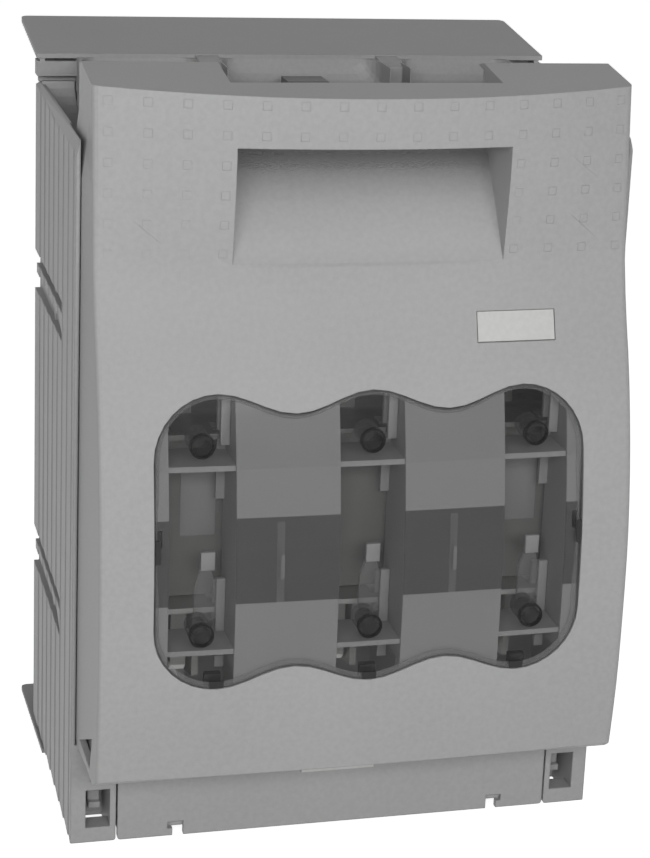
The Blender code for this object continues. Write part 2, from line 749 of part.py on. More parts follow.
def top_shroud():
    """The sloping plate with its scoops, partitions, end walls and the legs that seat it on the base."""
    plate = shroud_plate(TOP_FRONT, TOP_REAR, TOP_FRONT_HEIGHT, TOP_REAR_HEIGHT)
    half = SHROUD_WIDTH / 2
    end_in = half - SHROUD_END - 0.003
    near = PARTITION_X - PARTITION_THICK / 2 + 0.0005
    far = PARTITION_X + PARTITION_THICK / 2 - 0.0005
    back = TOP_FRONT - 0.004
    under = TOP_FRONT_HEIGHT - SHROUD_THICK
    for limits in ((-end_in - 0.001, -far), (-near, near), (far, end_in + 0.001)):
        add(plate, scoop(limits))
    wall_low = FRAME_HIGH + CLEAR
    add(plate, box((-end_in, end_in), (back - 0.0025, back + 0.003), (wall_low, TOP_FRONT_HEIGHT - 0.0015)))
    end_depth = (back - 0.004, TOP_FRONT - 0.0004)
    for side in (1, -1):
        nose = prism("X", ((back - 0.001, SCOOP_HEIGHT - 0.006), (TOP_FRONT + PARTITION_NOSE, SCOOP_HEIGHT - 0.006),
                           (TOP_FRONT + PARTITION_NOSE, TOP_FRONT_HEIGHT - 0.0030),
                           (TOP_FRONT + PARTITION_NOSE - 0.003, TOP_FRONT_HEIGHT - 0.0015),
                           (TOP_FRONT - 0.001, TOP_FRONT_HEIGHT - 0.0003), (back - 0.001, TOP_FRONT_HEIGHT - 0.001)),
                     *span(side, PARTITION_X - PARTITION_THICK / 2, PARTITION_X + PARTITION_THICK / 2))
        end = box(span(side, end_in - 0.001, half - CLEAR), end_depth, (END_WALL_HIGH - END_WALL, END_WALL_HIGH))
        tie_levels = (END_WALL_HIGH - 0.0005, under + 0.0015)
        outer_tie = box(span(side, half - END_SLOT - CLEAR, half - END_SLOT - CLEAR + END_TIE), end_depth, tie_levels)
        inner_tie = box(span(side, end_in - 0.001, end_in + 0.0012), end_depth, tie_levels)
        leg = box(span(side, end_in - 0.001, BASE_HALF - 0.0008), (back - 0.004, back - 0.001),
                  (BASE_HEIGHT + CLEAR, END_WALL_HIGH - END_WALL + 0.001))
        add(plate, nose, end, outer_tie, inner_tie, leg)
    rise = (TOP_REAR_HEIGHT - TOP_FRONT_HEIGHT) / (TOP_FRONT - TOP_REAR)
    web_high = TOP_FRONT_HEIGHT + rise * (TOP_FRONT - WEB_DEPTH - WEB_THICK) - SHROUD_THICK * 0.6
    web = box((-FRAME_WIDTH / 2, FRAME_WIDTH / 2), (WEB_DEPTH, WEB_DEPTH + WEB_THICK), (wall_low, web_high))
    return add(plate, web)


def bottom_shroud():
    plate = shroud_plate(BOTTOM_FRONT, BOTTOM_REAR, BOTTOM_FRONT_HEIGHT, BOTTOM_REAR_HEIGHT)
    rise = (BOTTOM_FRONT_HEIGHT - BOTTOM_REAR_HEIGHT) / (BOTTOM_FRONT - BOTTOM_REAR)

    def inside(depth):
        """A height within the plate's thickness at a depth."""
        return BOTTOM_FRONT_HEIGHT - rise * (BOTTOM_FRONT - depth) - SHROUD_THICK / 2

    start, stop = FRAME_DEPTH + 0.002, BOTTOM_FRONT - 0.002
    for side in (1, -1):
        add(plate, prism("X", ((start, inside(start)), (stop, inside(stop)), (stop, 0.012), (start, 0.012)),
                         *span(side, BASE_INNER - 0.0028, BASE_INNER - CLEAR)))
    add(plate, box((-FRAME_WIDTH / 2, FRAME_WIDTH / 2), (WEB_DEPTH, WEB_DEPTH + WEB_THICK),
                   (inside(WEB_DEPTH), FRAME_LOW - CLEAR)))
    add(plate, box((-BASE_INNER + 0.003, BASE_INNER - 0.003), (BOTTOM_FRONT - 0.0025, BOTTOM_FRONT),
                   (BOTTOM_FRONT_HEIGHT - 0.001, BOTTOM_FRONT_HEIGHT + 0.003)))
    return plate


def strip_cover():
    """The snap-on cover in front of the lower terminals."""
    radius = STRIP_ROUND
    outline = (arc((-STRIP_HALF + radius, radius), radius, 180, 270, 4)
               + arc((STRIP_HALF - radius, radius), radius, 270, 360, 4)
               + [(STRIP_HALF, STRIP_HEIGHT), (-STRIP_HALF, STRIP_HEIGHT)])
    strip = prism("Y", outline, BASE_FRONT - STRIP_THICK, BASE_FRONT)
    add(strip, box((-STRIP_HALF, STRIP_HALF), (BASE_FRONT - STRIP_FLANGE, BASE_FRONT - 0.001),
                   (STRIP_HEIGHT - STRIP_THICK, STRIP_HEIGHT - 0.00001)))
    for side in (1, -1):
        flange = box(span(side, STRIP_HALF - STRIP_THICK, STRIP_HALF - 0.00001),
                     (BASE_FRONT - STRIP_FLANGE * 1.6, BASE_FRONT - 0.001), (0.004, STRIP_HEIGHT - 0.0005))
        nub = box(span(side, STRIP_HALF - 0.001, POST_INNER - CLEAR),
                  (BASE_FRONT - STRIP_FLANGE * 1.5, BASE_FRONT - STRIP_FLANGE), (0.008, 0.016))
        at = STRIP_NOTCH_X + side * STRIP_NOTCH_SHIFT
        notch = box(span(side, at - STRIP_NOTCH_WIDTH / 2, at + STRIP_NOTCH_WIDTH / 2),
                    (BASE_FRONT - STRIP_THICK - 0.001, BASE_FRONT + 0.001), (-0.001, STRIP_NOTCH_HEIGHT))
        step = box(span(side, at, at + STRIP_NOTCH_WIDTH * 0.5 + 0.002),
                   (BASE_FRONT - STRIP_THICK - 0.001, BASE_FRONT + 0.001),
                   (STRIP_NOTCH_HEIGHT - 0.0028, STRIP_NOTCH_HEIGHT - 0.0001))
        tab = box(span(side, at - STRIP_NOTCH_WIDTH, at + STRIP_NOTCH_WIDTH + 0.001),
                  (BASE_FRONT - STRIP_THICK - STRIP_TAB, BASE_FRONT - STRIP_THICK + 0.0002),
                  (STRIP_TAB_LOW, STRIP_NOTCH_HEIGHT + 0.003))
        cut(strip, notch, step)
        add(strip, flange, nub, tab)
    return strip


def marker_strip():
    """The white strip on the upper edge of the lower cover."""
    return box((-TAG_WIDTH / 2, TAG_WIDTH / 2), (BASE_FRONT + CLEAR, BASE_FRONT + CLEAR + 0.0012),
               (STRIP_HEIGHT - TAG_HEIGHT - 0.0008, STRIP_HEIGHT - 0.0008))


# Cover

def cover_side_profile():
    """The cover seen from the side: sloping top, leaning rear edge, a lower edge that clears the shoulder."""
    far = COVER_PROFILE[3][1] + 0.012
    front_low = COVER_PROFILE[1][1] - 0.0066
    return [(far, COVER_LOW), (far, top_height(far)), (COVER_REAR, top_height(COVER_REAR)),
            (SKIRT_REAR_TOP, top_height(COVER_REAR) - 0.0012),
            (SKIRT_REAR_LOW, SKIRT_LOW + 0.0024), (SKIRT_REAR_LOW + 0.001, SKIRT_LOW), (BASE_FRONT, SKIRT_LOW),
            (BASE_FRONT + 0.0007, SKIRT_LOW - SKIRT_STEP), (front_low - 0.0106, SKIRT_LOW - SKIRT_STEP - 0.0008),
            (front_low, COVER_LOW - SKIRT_CORNER_RISE), (COVER_PROFILE[1][1] - 0.0005, COVER_LOW)]


def cavity_profile():
    """The hollow of the cover seen from the side: open at the back and below."""
    far = COVER_PROFILE[3][1] + 0.012
    near = COVER_REAR - 0.040
    lip = COVER_PROFILE[1][1] - BOTTOM_FLANGE
    return [(near, 0.010), (lip, 0.010), (lip, COVER_LOW + COVER_WALL), (far, COVER_LOW + COVER_WALL),
            (far, top_height(far) - COVER_WALL), (near, top_height(near) - COVER_WALL)]


def grip_floor():
    """The recess floor, from the cover's front up to its top edge behind the bar."""
    rise, run = GRIP_HIGH - GRIP_LOW, cover_face(HANDLE_WIDTH / 2, GRIP_LOW) - GRIP_REAR
    start = (GRIP_REAR + run, GRIP_LOW)
    return [(start[0] + run * 0.16, GRIP_LOW - rise * 0.133), start, (start[0] - run * 0.39, GRIP_LOW + rise * 0.33),
            (start[0] - run * 0.74, GRIP_LOW + rise * 0.62), (start[0] - run * 0.90, GRIP_LOW + rise * 0.81),
            (GRIP_REAR, GRIP_HIGH)]


def grip_solid():
    """Everything in front of the recess floor's rear face."""
    far = COVER_PROFILE[3][1] + 0.014
    half = HANDLE_WIDTH / 2 + COVER_WALL
    floor = [(d - COVER_WALL * 0.96, z - COVER_WALL * 0.72) for d, z in grip_floor()]
    outline = [(far, floor[0][1])] + floor[:-1] + [(GRIP_REAR - COVER_WALL, GRIP_HIGH),
                                                   (GRIP_REAR - COVER_WALL, 0.320), (far, 0.320)]
    return prism("X", outline, -half, half)


def grip_cut():
    """The recess under the bar and the gap behind it, open above and at the rear."""
    far = COVER_PROFILE[3][1] + 0.016
    floor = grip_floor()
    rear = COVER_REAR - 0.030
    outline = ([(far, HANDLE_LOW), (far, floor[0][1])] + floor
               + [(rear, GRIP_HIGH), (rear, 0.325), (HANDLE_REAR, 0.325), (HANDLE_REAR, HANDLE_LOW)])
    return prism("X", outline, -HANDLE_WIDTH / 2, HANDLE_WIDTH / 2)


def bar_pocket():
    """Hollows the bar from behind."""
    wall = COVER_WALL + 0.001
    deep = cover_face(HANDLE_WIDTH / 2, HANDLE_LOW) - wall
    half = HANDLE_WIDTH / 2 - wall
    high = top_height(deep) - wall
    return box((-half, half), (HANDLE_REAR - 0.001, deep), (HANDLE_LOW + wall, high))


def pads():
    """Small raised squares: full rows along the bar, short rows down both sides."""
    made = []
    middle = (PAD_COLUMNS - 1) / 2
    for row in range(PAD_ROWS):
        for column in range(PAD_COLUMNS):
            x = (column - middle) * PAD_PITCH_X
            if row >= PAD_FULL_ROWS and abs(x) - PAD_SIZE / 2 < HANDLE_WIDTH / 2:
                continue
            z = PAD_TOP - row * PAD_PITCH_Z
            corners = [(x + a * PAD_SIZE / 2, z + b * PAD_SIZE / 2)
                       for a, b in ((-1, -1), (1, -1), (1, 1), (-1, 1))]
            made.append(loft([[(a, -(cover_face(a, b) + raised), b) for a, b in corners]
                              for raised in (-0.001, PAD_RAISE)]))
    return group(*made)


def hinge_lug(side):
    """The arm that carries the cover on its pin."""
    _, limits, _ = hinge_x()
    front = cover_face(limits[0], COVER_LOW + 0.006) - 0.001
    outline = (arc((HINGE_DEPTH, HINGE_HEIGHT), LUG_RADIUS, 110, 300, 12)
               + [(HINGE_DEPTH + 0.014, HINGE_HEIGHT + 0.0035), (front, COVER_LOW + 0.004),
                  (front + 0.0015, COVER_LOW + 0.030), (HINGE_DEPTH + 0.004, HINGE_HEIGHT + 0.010)])
    lug = prism("X", outline, *span(side, *limits))
    return cut(lug, pin_hole(side, limits, CLEAR))


def skirt_window(side):
    """The three-cornered opening low in each skirt, over the hinge."""
    return prism("X", SKIRT_WINDOW, *span(side, COVER_HALF - COVER_WALL - 0.001, COVER_REAR_HALF + 0.001))


def window_outline(grow=0.0):
    """The wavy outline: round corner lobes joined by waves with a crest at each pole."""
    radius = WINDOW_LOBE_RADIUS + grow
    reach = WINDOW_LOBE_RADIUS
    steps = 20

    def wave(edge, sign):
        points = []
        for i in range(1, steps):
            x = WINDOW_LOBE_X * (1 - 2 * i / steps)
            dip = WINDOW_WAVE * (1 - math.cos(2 * math.pi * x / WINDOW_LOBE_X))
            points.append((x, edge + sign * (grow - dip)))
        return points

    top, low = WINDOW_TOP, WINDOW_BOTTOM
    outline = arc((WINDOW_LOBE_X, top - reach), radius, 0, 90, 8)
    outline += wave(top, 1)
    outline += arc((-WINDOW_LOBE_X, top - reach), radius, 90, 180, 8)
    outline += arc((-WINDOW_LOBE_X, low + reach), radius, 180, 270, 8)
    outline += [(-x, z) for x, z in wave(low, -1)]
    outline += arc((WINDOW_LOBE_X, low + reach), radius, 270, 360, 8)
    return outline


def marker_block(front, back, grow):
    half_x, half_z = MARKER_WIDTH / 2 + grow, MARKER_HEIGHT / 2 + grow
    return curved((MARKER_X - half_x, MARKER_X + half_x), (MARKER_Z - half_z, MARKER_Z + half_z), front, back)


def cover_shell():
    """The hinged cover: a thin bowed shell with its grip, pads, window opening and hinge lugs."""
    edge = [side * (COVER_HALF - COVER_EDGE * part) for side in (1, -1) for part in (0.15, 0.45, 1.0)]
    shell = curved((-COVER_HALF, COVER_HALF), (0.026, 0.304), 0.0, None, extra_x=edge)
    keep(shell, prism("X", cover_side_profile(), -BASE_HALF, BASE_HALF))
    inner = COVER_HALF - COVER_WALL
    cavity = curved((-inner, inner), (0.012, 0.302), COVER_WALL, None)
    keep(cavity, prism("X", cavity_profile(), -BASE_HALF, BASE_HALF))
    cut(cavity, grip_solid())
    cut(shell, cavity, grip_cut(), bar_pocket())
    cut(shell, prism("Y", window_outline(), *SHEET_REACH), marker_block(-0.002, MARKER_THICK + 2 * CLEAR, CLEAR))
    for side in (1, -1):
        add(shell, hinge_lug(side))
        cut(shell, skirt_window(side))
    return add(shell, pads())


def socket_places():
    """Middle of each round probe socket: one at each gripping lug."""
    reach = FUSE_BODY_HEIGHT / 2 + END_PLATE
    return [(pole, FUSE_CENTRE + side * reach) for pole in POLES for side in (1, -1)]


def viewing_window():
    """The clear window with six round sockets moulded on its back."""
    half = WINDOW_LOBE_X + WINDOW_LOBE_RADIUS + 0.002
    pane = curved((-half, half), (WINDOW_BOTTOM - 0.004, WINDOW_TOP + 0.004), WINDOW_SINK, WINDOW_SINK + WINDOW_THICK)
    keep(pane, prism("Y", window_outline(-CLEAR), *SHEET_REACH))
    for x, z in socket_places():
        start = cover_face(x, z) - WINDOW_SINK - WINDOW_THICK * 0.6
        add(pane, prism("Y", disc((x, z), SOCKET_RADIUS), start - SOCKET_LENGTH, start))
        cut(pane, prism("Y", disc((x, z), SOCKET_BORE, 12), start - SOCKET_LENGTH + SOCKET_END, start + 0.004))
    return pane


def clip_limits():
    """Where the clips grip the window: under each pole and at both sides."""
    wide = CLIP_WIDTH / 2
    spots = [((x - wide, x + wide), (WINDOW_BOTTOM - 0.004, WINDOW_BOTTOM + CLIP_REACH))
             for x in (-CLIP_PITCH, 0.0, CLIP_PITCH)]
    edge = WINDOW_LOBE_X + WINDOW_LOBE_RADIUS
    middle = FUSE_CENTRE + 0.002
    spots += [(span(side, edge - 0.003, edge + 0.0035), (middle - wide, middle + wide)) for side in (1, -1)]
    return spots


def window_clip(limits):
    start = COVER_WALL + CLEAR
    return curved(*limits, start, start + CLIP_THICK)


def clip_pockets():
    """Room for the clips in the sheets behind the window."""
    return [box((x[0] - CLEAR, x[1] + CLEAR), SHEET_REACH, (z[0] - CLEAR, z[1] + CLEAR)) for x, z in clip_limits()]


def pole_slots():
    half = SLOT_WIDTH / 2
    return [box((pole - half, pole + half), (BASE_FRONT, SHEET_REACH[1]), (SLOT_LOW, SLOT_HIGH)) for pole in POLES]


def insert_sheet():
    """The printed sheet behind the window, left blank."""
    front = COVER_WALL + CLEAR
    sheet = curved((-INSERT_HALF, INSERT_HALF), (INSERT_LOW, INSERT_HIGH), front, front + INSERT_THICK, 0.022)
    return cut(sheet, *pole_slots(), *clip_pockets())


def carrier_plate():
    """The plate that carries the fuses: slots, shelves across them and channels behind."""
    front = COVER_WALL + INSERT_THICK + 2 * CLEAR
    half = hinge_x()[1][0] - CARRIER_SIDE_GAP
    plate = curved((-half, half), (CARRIER_LOW, CARRIER_HIGH), front, front + CARRIER_THICK, 0.022)
    cut(plate, *pole_slots(), *clip_pockets())
    half = SLOT_WIDTH / 2
    for pole in POLES:
        for height in RAIL_HEIGHTS:
            add(plate, curved((pole - half - 0.001, pole + half + 0.001),
                              (height - SHELF_THICK / 2, height + SHELF_THICK / 2),
                              front + 0.0006, front + SHELF_DEPTH))
        for side in (1, -1):
            inner, outer = pole + side * half, pole + side * (half + CHANNEL_THICK)
            limits = tuple(sorted((inner, outer)))
            low, high = SLOT_LOW + 0.006, SLOT_HIGH - 0.002
            levels = [low + (high - low) * i / 8 for i in range(9)]
            edge = [(cover_face(pole, z) - front - CARRIER_THICK * 0.5, z) for z in levels]
            add(plate, prism("X", [(CHANNEL_REAR, low)] + edge + [(CHANNEL_REAR, high)], *limits))
            for span_low, span_high in FLANGE_SPANS:
                tip = pole + side * (half - FLANGE_WIDTH)
                add(plate, box(tuple(sorted((tip, inner + side * 0.001))),
                               (CHANNEL_REAR, CHANNEL_REAR + FLANGE_THICK), (span_low, span_high)))
    return plate


# Fuses

def fuse_body(pole):
    half = FUSE_BODY_WIDTH / 2
    rear = FUSE_FRONT - FUSE_BODY_DEPTH
    outline = rounded((pole - half, pole + half), (rear, FUSE_FRONT), FUSE_ROUND)
    half_height = FUSE_BODY_HEIGHT / 2 - CLEAR
    return prism("Z", outline, FUSE_CENTRE - half_height, FUSE_CENTRE + half_height)


def fuse_contact(pole, side):
    """One knife contact: end plate, blade and the lug that the carrier grips."""
    near = FUSE_CENTRE + side * FUSE_BODY_HEIGHT / 2
    plate_high = near + side * END_PLATE
    half = FUSE_BODY_WIDTH / 2 - 0.001
    rear = FUSE_FRONT - FUSE_BODY_DEPTH + 0.001
    levels = tuple(sorted((near, plate_high)))
    plate = prism("Z", rounded((pole - half, pole + half), (rear, FUSE_FRONT - 0.001), FUSE_ROUND), *levels)
    head = CHANNEL_REAR + FLANGE_THICK + CLEAR
    neck = box((pole - LUG_NECK / 2, pole + LUG_NECK / 2), (FUSE_FRONT - 0.004, head + 0.001), levels)
    grip = box((pole - LUG_HEAD / 2, pole + LUG_HEAD / 2), (head, head + LUG_HEAD_DEPTH), levels)
    tip = plate_high + side * BLADE_LENGTH
    blade_rear = BLADE_FRONT - BLADE_WIDTH
    bevel = 0.003
    outline = [(BLADE_FRONT, near + side * 0.001), (BLADE_FRONT, tip - side * bevel), (BLADE_FRONT - bevel, tip),
               (blade_rear + bevel, tip), (blade_rear, tip - side * bevel), (blade_rear, near + side * 0.001)]
    blade = prism("X", outline, pole - BLADE_THICK / 2, pole + BLADE_THICK / 2)
    return add(plate, neck, grip, blade)


def fuse_tongue(pole):
    """The spring tongue in front of a fuse, with its square tip."""
    x = pole + TONGUE_X
    rear, front = TONGUE_DEPTH, TONGUE_DEPTH + TONGUE_THICK
    neck = TONGUE_HIGH - TONGUE_TIP
    wall = pole + SLOT_WIDTH / 2 - CLEAR
    half, tip = TONGUE_WIDTH / 2, TONGUE_TIP_WIDTH / 2
    outline = [(x - half, TONGUE_LOW), (wall, TONGUE_LOW), (wall, TONGUE_LOW + 0.005), (x + half, TONGUE_LOW + 0.006),
               (x + tip, neck), (x + tip, TONGUE_HIGH), (x - tip, TONGUE_HIGH), (x - tip, neck),
               (x - half, TONGUE_LOW + 0.006)]
    return prism("Y", outline, rear, front)


# Contacts

def jaw_levels(side):
    """Height limits of a contact jaw above or below the fuse."""
    end = FUSE_CENTRE + side * (FUSE_BODY_HEIGHT / 2 + END_PLATE + JAW_END_GAP)
    return tuple(sorted((end, end + side * JAW_HEIGHT)))


def bar_front():
    return FLOOR_FRONT + CLEAR + BAR_THICK


def contact_jaw(pole, side):
    """Two sprung leaves on a foot, flared at the front to lead the blade in."""
    inner = BLADE_THICK / 2 + CLEAR
    outer = inner + JAW_THICK
    foot_back = bar_front() + CLEAR
    foot = foot_back + JAW_THICK
    neck = JAW_FRONT - 0.006
    low, high = jaw_levels(side)
    right = [(outer, foot), (outer, neck), (outer + JAW_FLARE, JAW_FRONT), (inner + JAW_FLARE, JAW_FRONT),
             (inner, neck), (inner, foot)]
    left = [(-x, y) for x, y in reversed(right)]
    wing = BAR_WIDTH / 2
    outline = [(-wing, foot_back), (wing, foot_back), (wing, foot)] + right + left + [(-wing, foot)]
    return prism("Z", [(pole + x, y) for x, y in outline], low, high)


def jaw_spring(pole, side):
    """The steel clip round the two leaves."""
    inner_x = BLADE_THICK / 2 + CLEAR + JAW_THICK + SPRING_GAP
    outer_x = inner_x + SPRING_THICK
    low, high = jaw_levels(side)
    inner_low, inner_high = low - SPRING_GAP, high + SPRING_GAP
    outer_low, outer_high = inner_low - SPRING_THICK, inner_high + SPRING_THICK
    blade_rear = BLADE_FRONT - BLADE_WIDTH
    ring = box((pole - outer_x, pole + outer_x), (blade_rear - 0.012, blade_rear - 0.003), (outer_low, outer_high))
    cut(ring, box((pole - inner_x, pole + inner_x), (blade_rear - 0.020, blade_rear + 0.005), (inner_low, inner_high)))
    middle = (low + high) / 2
    for hand in (1, -1):
        leg = box(tuple(sorted((pole + hand * inner_x, pole + hand * outer_x))),
                  (blade_rear - 0.004, BLADE_FRONT - 0.006), (middle - 0.005, middle + 0.005))
        add(ring, leg)
    return ring


def terminal_bar(pole, side):
    """The flat bar from a jaw to its terminal, with the bolt hole and the raised contact face at its end."""
    low, high = jaw_levels(side)
    levels = (low - 0.004, BAR_TOP) if side > 0 else (BAR_BOTTOM, high + 0.004)
    half = BAR_WIDTH / 2
    bar = prism("Y", rounded((pole - half, pole + half), levels, 0.002, 2), FLOOR_FRONT + CLEAR, bar_front())
    height = BOLT_UPPER if side > 0 else BOLT_LOWER
    near = height + side * (WASHER_RADIUS + TERMINAL_GAP)
    end = BAR_TOP if side > 0 else BAR_BOTTOM
    add(bar, box((pole - half + 0.0005, pole + half - 0.0005), (bar_front() - 0.001, bar_front() + TERMINAL_RISE),
                 tuple(sorted((near, end - side * 0.0005)))))
    return cut(bar, prism("Y", disc((pole, height), BOLT_RADIUS + CLEAR),
                          FLOOR_FRONT - 0.001, bar_front() + 0.001))


def bolt(pole, height):
    """Hexagon head and washer in front of the bar, shank through it, nut behind the floor."""
    face = bar_front() + CLEAR
    nut = FLOOR_FRONT - FLOOR_THICK - CLEAR
    whole = prism("Y", disc((pole, height), BOLT_RADIUS, 12), nut - NUT_THICK - 0.003, face + 0.001)
    add(whole, prism("Y", disc((pole, height), WASHER_RADIUS, 16), face, face + WASHER_THICK))
    add(whole, prism("Y", disc((pole, height), BOLT_HEAD, 6), face + WASHER_THICK / 2,
                     face + WASHER_THICK + BOLT_HEAD_HEIGHT))
    return add(whole, prism("Y", disc((pole, height), BOLT_HEAD, 6), nut - NUT_THICK, nut))


def arc_chamber(pole):
    """Steel quenching plates between two side cheeks, over the upper jaw."""
    half = ARC_WIDTH / 2
    seat = FLOOR_FRONT + CLEAR
    back = bar_front() + BOLT_HEAD_HEIGHT + 0.006
    front = back + ARC_DEPTH
    high = ARC_LOW + ARC_PLATES * ARC_PLATE_PITCH
    cheeks = box((pole - half, pole - half + ARC_SIDE), (seat, front), (ARC_LOW, high))
    for i in range(ARC_PLATES):
        low = ARC_LOW + (i + 0.5) * ARC_PLATE_PITCH - ARC_PLATE_THICK / 2
        notch = BLADE_THICK / 2 + 0.003
        outline = ((pole - half + 0.001, back + 0.001), (pole + half - 0.001, back + 0.001),
                   (pole + half - 0.001, front - 0.001), (pole + notch, front - 0.001),
                   (pole, front - 0.012), (pole - notch, front - 0.001), (pole - half + 0.001, front - 0.001))
        add(cheeks, prism("Z", outline, low, low + ARC_PLATE_THICK))
    return add(cheeks, box((pole + half - ARC_SIDE, pole + half), (seat, front), (ARC_LOW, high)))


def hinge_pin(side):
    inner_ear, _, outer_ear = hinge_x()
    return prism("X", disc((HINGE_DEPTH, HINGE_HEIGHT), PIN_RADIUS, 12), *span(side, inner_ear[0] - 0.0005, outer_ear[1]))


def catch_block():
    """The dark catch on the middle scoop, with its ramp."""
    back = TOP_FRONT + SCOOP_ROUND
    low = SCOOP_HEIGHT + CLEAR
    right = CATCH_WIDTH - CATCH_LEFT
    outline = ((-CATCH_LEFT, low), (right + CATCH_RAMP, low), (right, low + CATCH_HEIGHT),
               (-CATCH_LEFT, low + CATCH_HEIGHT))
    return prism("Y", outline, back, back + CATCH_DEPTH)


def build():
    clear_scene()
    frame = empty("frame_origin", (0, 0, -ORIGIN_HEIGHT))
    hinge = empty("cover_axis", (0, -HINGE_DEPTH, HINGE_HEIGHT), frame)

    finish(base_housing(), "base_housing", "housing", frame)
    finish(mounting_frame(), "mounting_frame", "frame", frame)
    finish(top_shroud(), "top_shroud", "shroud", frame)
    finish(bottom_shroud(), "bottom_shroud", "shroud", frame)
    finish(strip_cover(), "strip_cover", "housing", frame)
    finish(marker_strip(), "marker_strip", "white", frame)
    finish(catch_block(), "cover_catch", "black", frame)
    for side, word in ((-1, "left"), (1, "right")):
        finish(hinge_pin(side), "hinge_pin_" + word, "steel", frame)

    for number, pole in enumerate(POLES, 1):
        for side, word in ((1, "upper"), (-1, "lower")):
            finish(contact_jaw(pole, side), f"{word}_jaw_{number}", "copper", frame)
            finish(jaw_spring(pole, side), f"{word}_jaw_spring_{number}", "steel", frame)
            finish(terminal_bar(pole, side), f"{word}_terminal_{number}", "copper", frame)
        finish(arc_chamber(pole), f"arc_chamber_{number}", "steel", frame)
        finish(bolt(pole, BOLT_UPPER), f"upper_terminal_bolt_{number}", "steel", frame)
        finish(bolt(pole, BOLT_LOWER), f"lower_terminal_bolt_{number}", "steel", frame)

    finish(cover_shell(), "cover_shell", "cover", hinge)
    finish(viewing_window(), "viewing_window", "clear", hinge)
    for number, limits in enumerate(clip_limits(), 1):
        finish(window_clip(limits), f"window_clip_{number}", "black", hinge)
    finish(marker_block(CLEAR, MARKER_THICK + CLEAR, 0.0), "marker_plate", "white", hinge)
    finish(insert_sheet(), "insert_sheet", "insert", hinge)
    finish(carrier_plate(), "fuse_carrier_plate", "housing", hinge)
    for number, pole in enumerate(POLES, 1):
        finish(fuse_body(pole), f"fuse_body_{number}", "ceramic", hinge)
        finish(fuse_contact(pole, 1), f"fuse_upper_contact_{number}", "silver", hinge)
        finish(fuse_contact(pole, -1), f"fuse_lower_contact_{number}", "silver", hinge)
        finish(fuse_tongue(pole), f"fuse_tongue_{number}", "white", hinge)


build()
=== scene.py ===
"""Fuse switch disconnector: materials, fine shapes, light and camera over the CAD frame.

Metres, +Z up, -Y out of the front, origin in the middle of the mounting face.
"""
import json
import math

import bpy
import bmesh
from mathutils import Matrix, Vector

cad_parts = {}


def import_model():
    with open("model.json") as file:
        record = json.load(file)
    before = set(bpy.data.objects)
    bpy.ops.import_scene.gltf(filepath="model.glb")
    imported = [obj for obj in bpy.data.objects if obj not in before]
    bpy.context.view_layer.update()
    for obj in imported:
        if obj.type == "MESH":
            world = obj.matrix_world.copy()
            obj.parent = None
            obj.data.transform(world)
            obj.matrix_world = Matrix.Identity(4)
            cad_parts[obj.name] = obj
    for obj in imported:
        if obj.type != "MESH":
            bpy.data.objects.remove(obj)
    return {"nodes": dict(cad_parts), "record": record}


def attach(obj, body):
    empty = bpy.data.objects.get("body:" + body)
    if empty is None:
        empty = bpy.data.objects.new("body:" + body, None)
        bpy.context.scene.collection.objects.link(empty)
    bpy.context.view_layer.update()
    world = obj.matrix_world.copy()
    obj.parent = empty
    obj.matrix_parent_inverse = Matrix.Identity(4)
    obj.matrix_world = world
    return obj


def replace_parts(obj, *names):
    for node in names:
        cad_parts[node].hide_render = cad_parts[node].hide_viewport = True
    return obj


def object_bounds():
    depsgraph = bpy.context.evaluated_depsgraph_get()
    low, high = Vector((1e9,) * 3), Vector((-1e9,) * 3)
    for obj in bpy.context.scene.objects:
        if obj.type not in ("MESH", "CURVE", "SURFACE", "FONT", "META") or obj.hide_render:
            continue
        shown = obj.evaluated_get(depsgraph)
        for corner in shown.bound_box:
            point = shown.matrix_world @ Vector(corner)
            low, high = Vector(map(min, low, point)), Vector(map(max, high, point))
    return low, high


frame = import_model()
CAD_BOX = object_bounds()
NODES = frame["nodes"]

# Sizes that the solids share: depths forward of the wall, heights from the bottom edge of the base
ORIGIN_HEIGHT = 0.146
POLES = (-0.063, 0.0, 0.063)
COVER_HALF = 0.1005
COVER_EDGE = 0.002
COVER_CREASE = 0.231
COVER_TOP = 0.2962
COVER_TOP_DEPTH = 0.175
COVER_BULGE_LOW = 0.0023
COVER_BULGE_CREASE = 0.003
COVER_BULGE_TOP = 0.0155
COVER_BULGE_RUN = 0.03
COVER_PROFILE = (
    (0.030, 0.2020), (0.0428, 0.2042), (0.070, 0.2071), (0.100, 0.2078), (0.130, 0.2069),
    (0.160, 0.2026), (0.190, 0.1952), (0.215, 0.1863), (0.231, 0.1818),
)
PAD_RAISE = 0.0003
WINDOW_LOBE_X = 0.0575
WINDOW_LOBE_RADIUS = 0.0235
WINDOW_TOP = 0.1888
WINDOW_BOTTOM = 0.0795
WINDOW_WAVE = 0.00375
WINDOW_THICK = 0.0022
WINDOW_SINK = 0.00025
FUSE_CENTRE = 0.135
FUSE_FRONT = 0.173
SOCKET_REACH = 0.035
TONGUE_X = 0.0053
TONGUE_DEPTH = 0.1865
TONGUE_THICK = 0.002


# Materials

# Moulded plastic: its flow marks and their share in the mottle, its specks and its grain
CLOUD_SCALE = 14.0
CLOUD_SHARE = 0.4
SPECK_SHARE = 0.35
ROUGHNESS_SPREAD = 0.05
GRAIN_DEPTH = 0.00012
EDGE_SAMPLES = 4

# Plated metal: its cloudy tone and the fine lines along it
PLATE_SCALE = 30.0
PLATE_MOTTLE = 0.08
PLATE_ROUGHNESS = (0.8, 1.25)
BRUSH_SCALE = 90.0
BRUSH_STRETCH = (1.0, 1.0, 40.0)
BRUSH_STRENGTH = 0.15
BRUSH_DEPTH = 0.00005

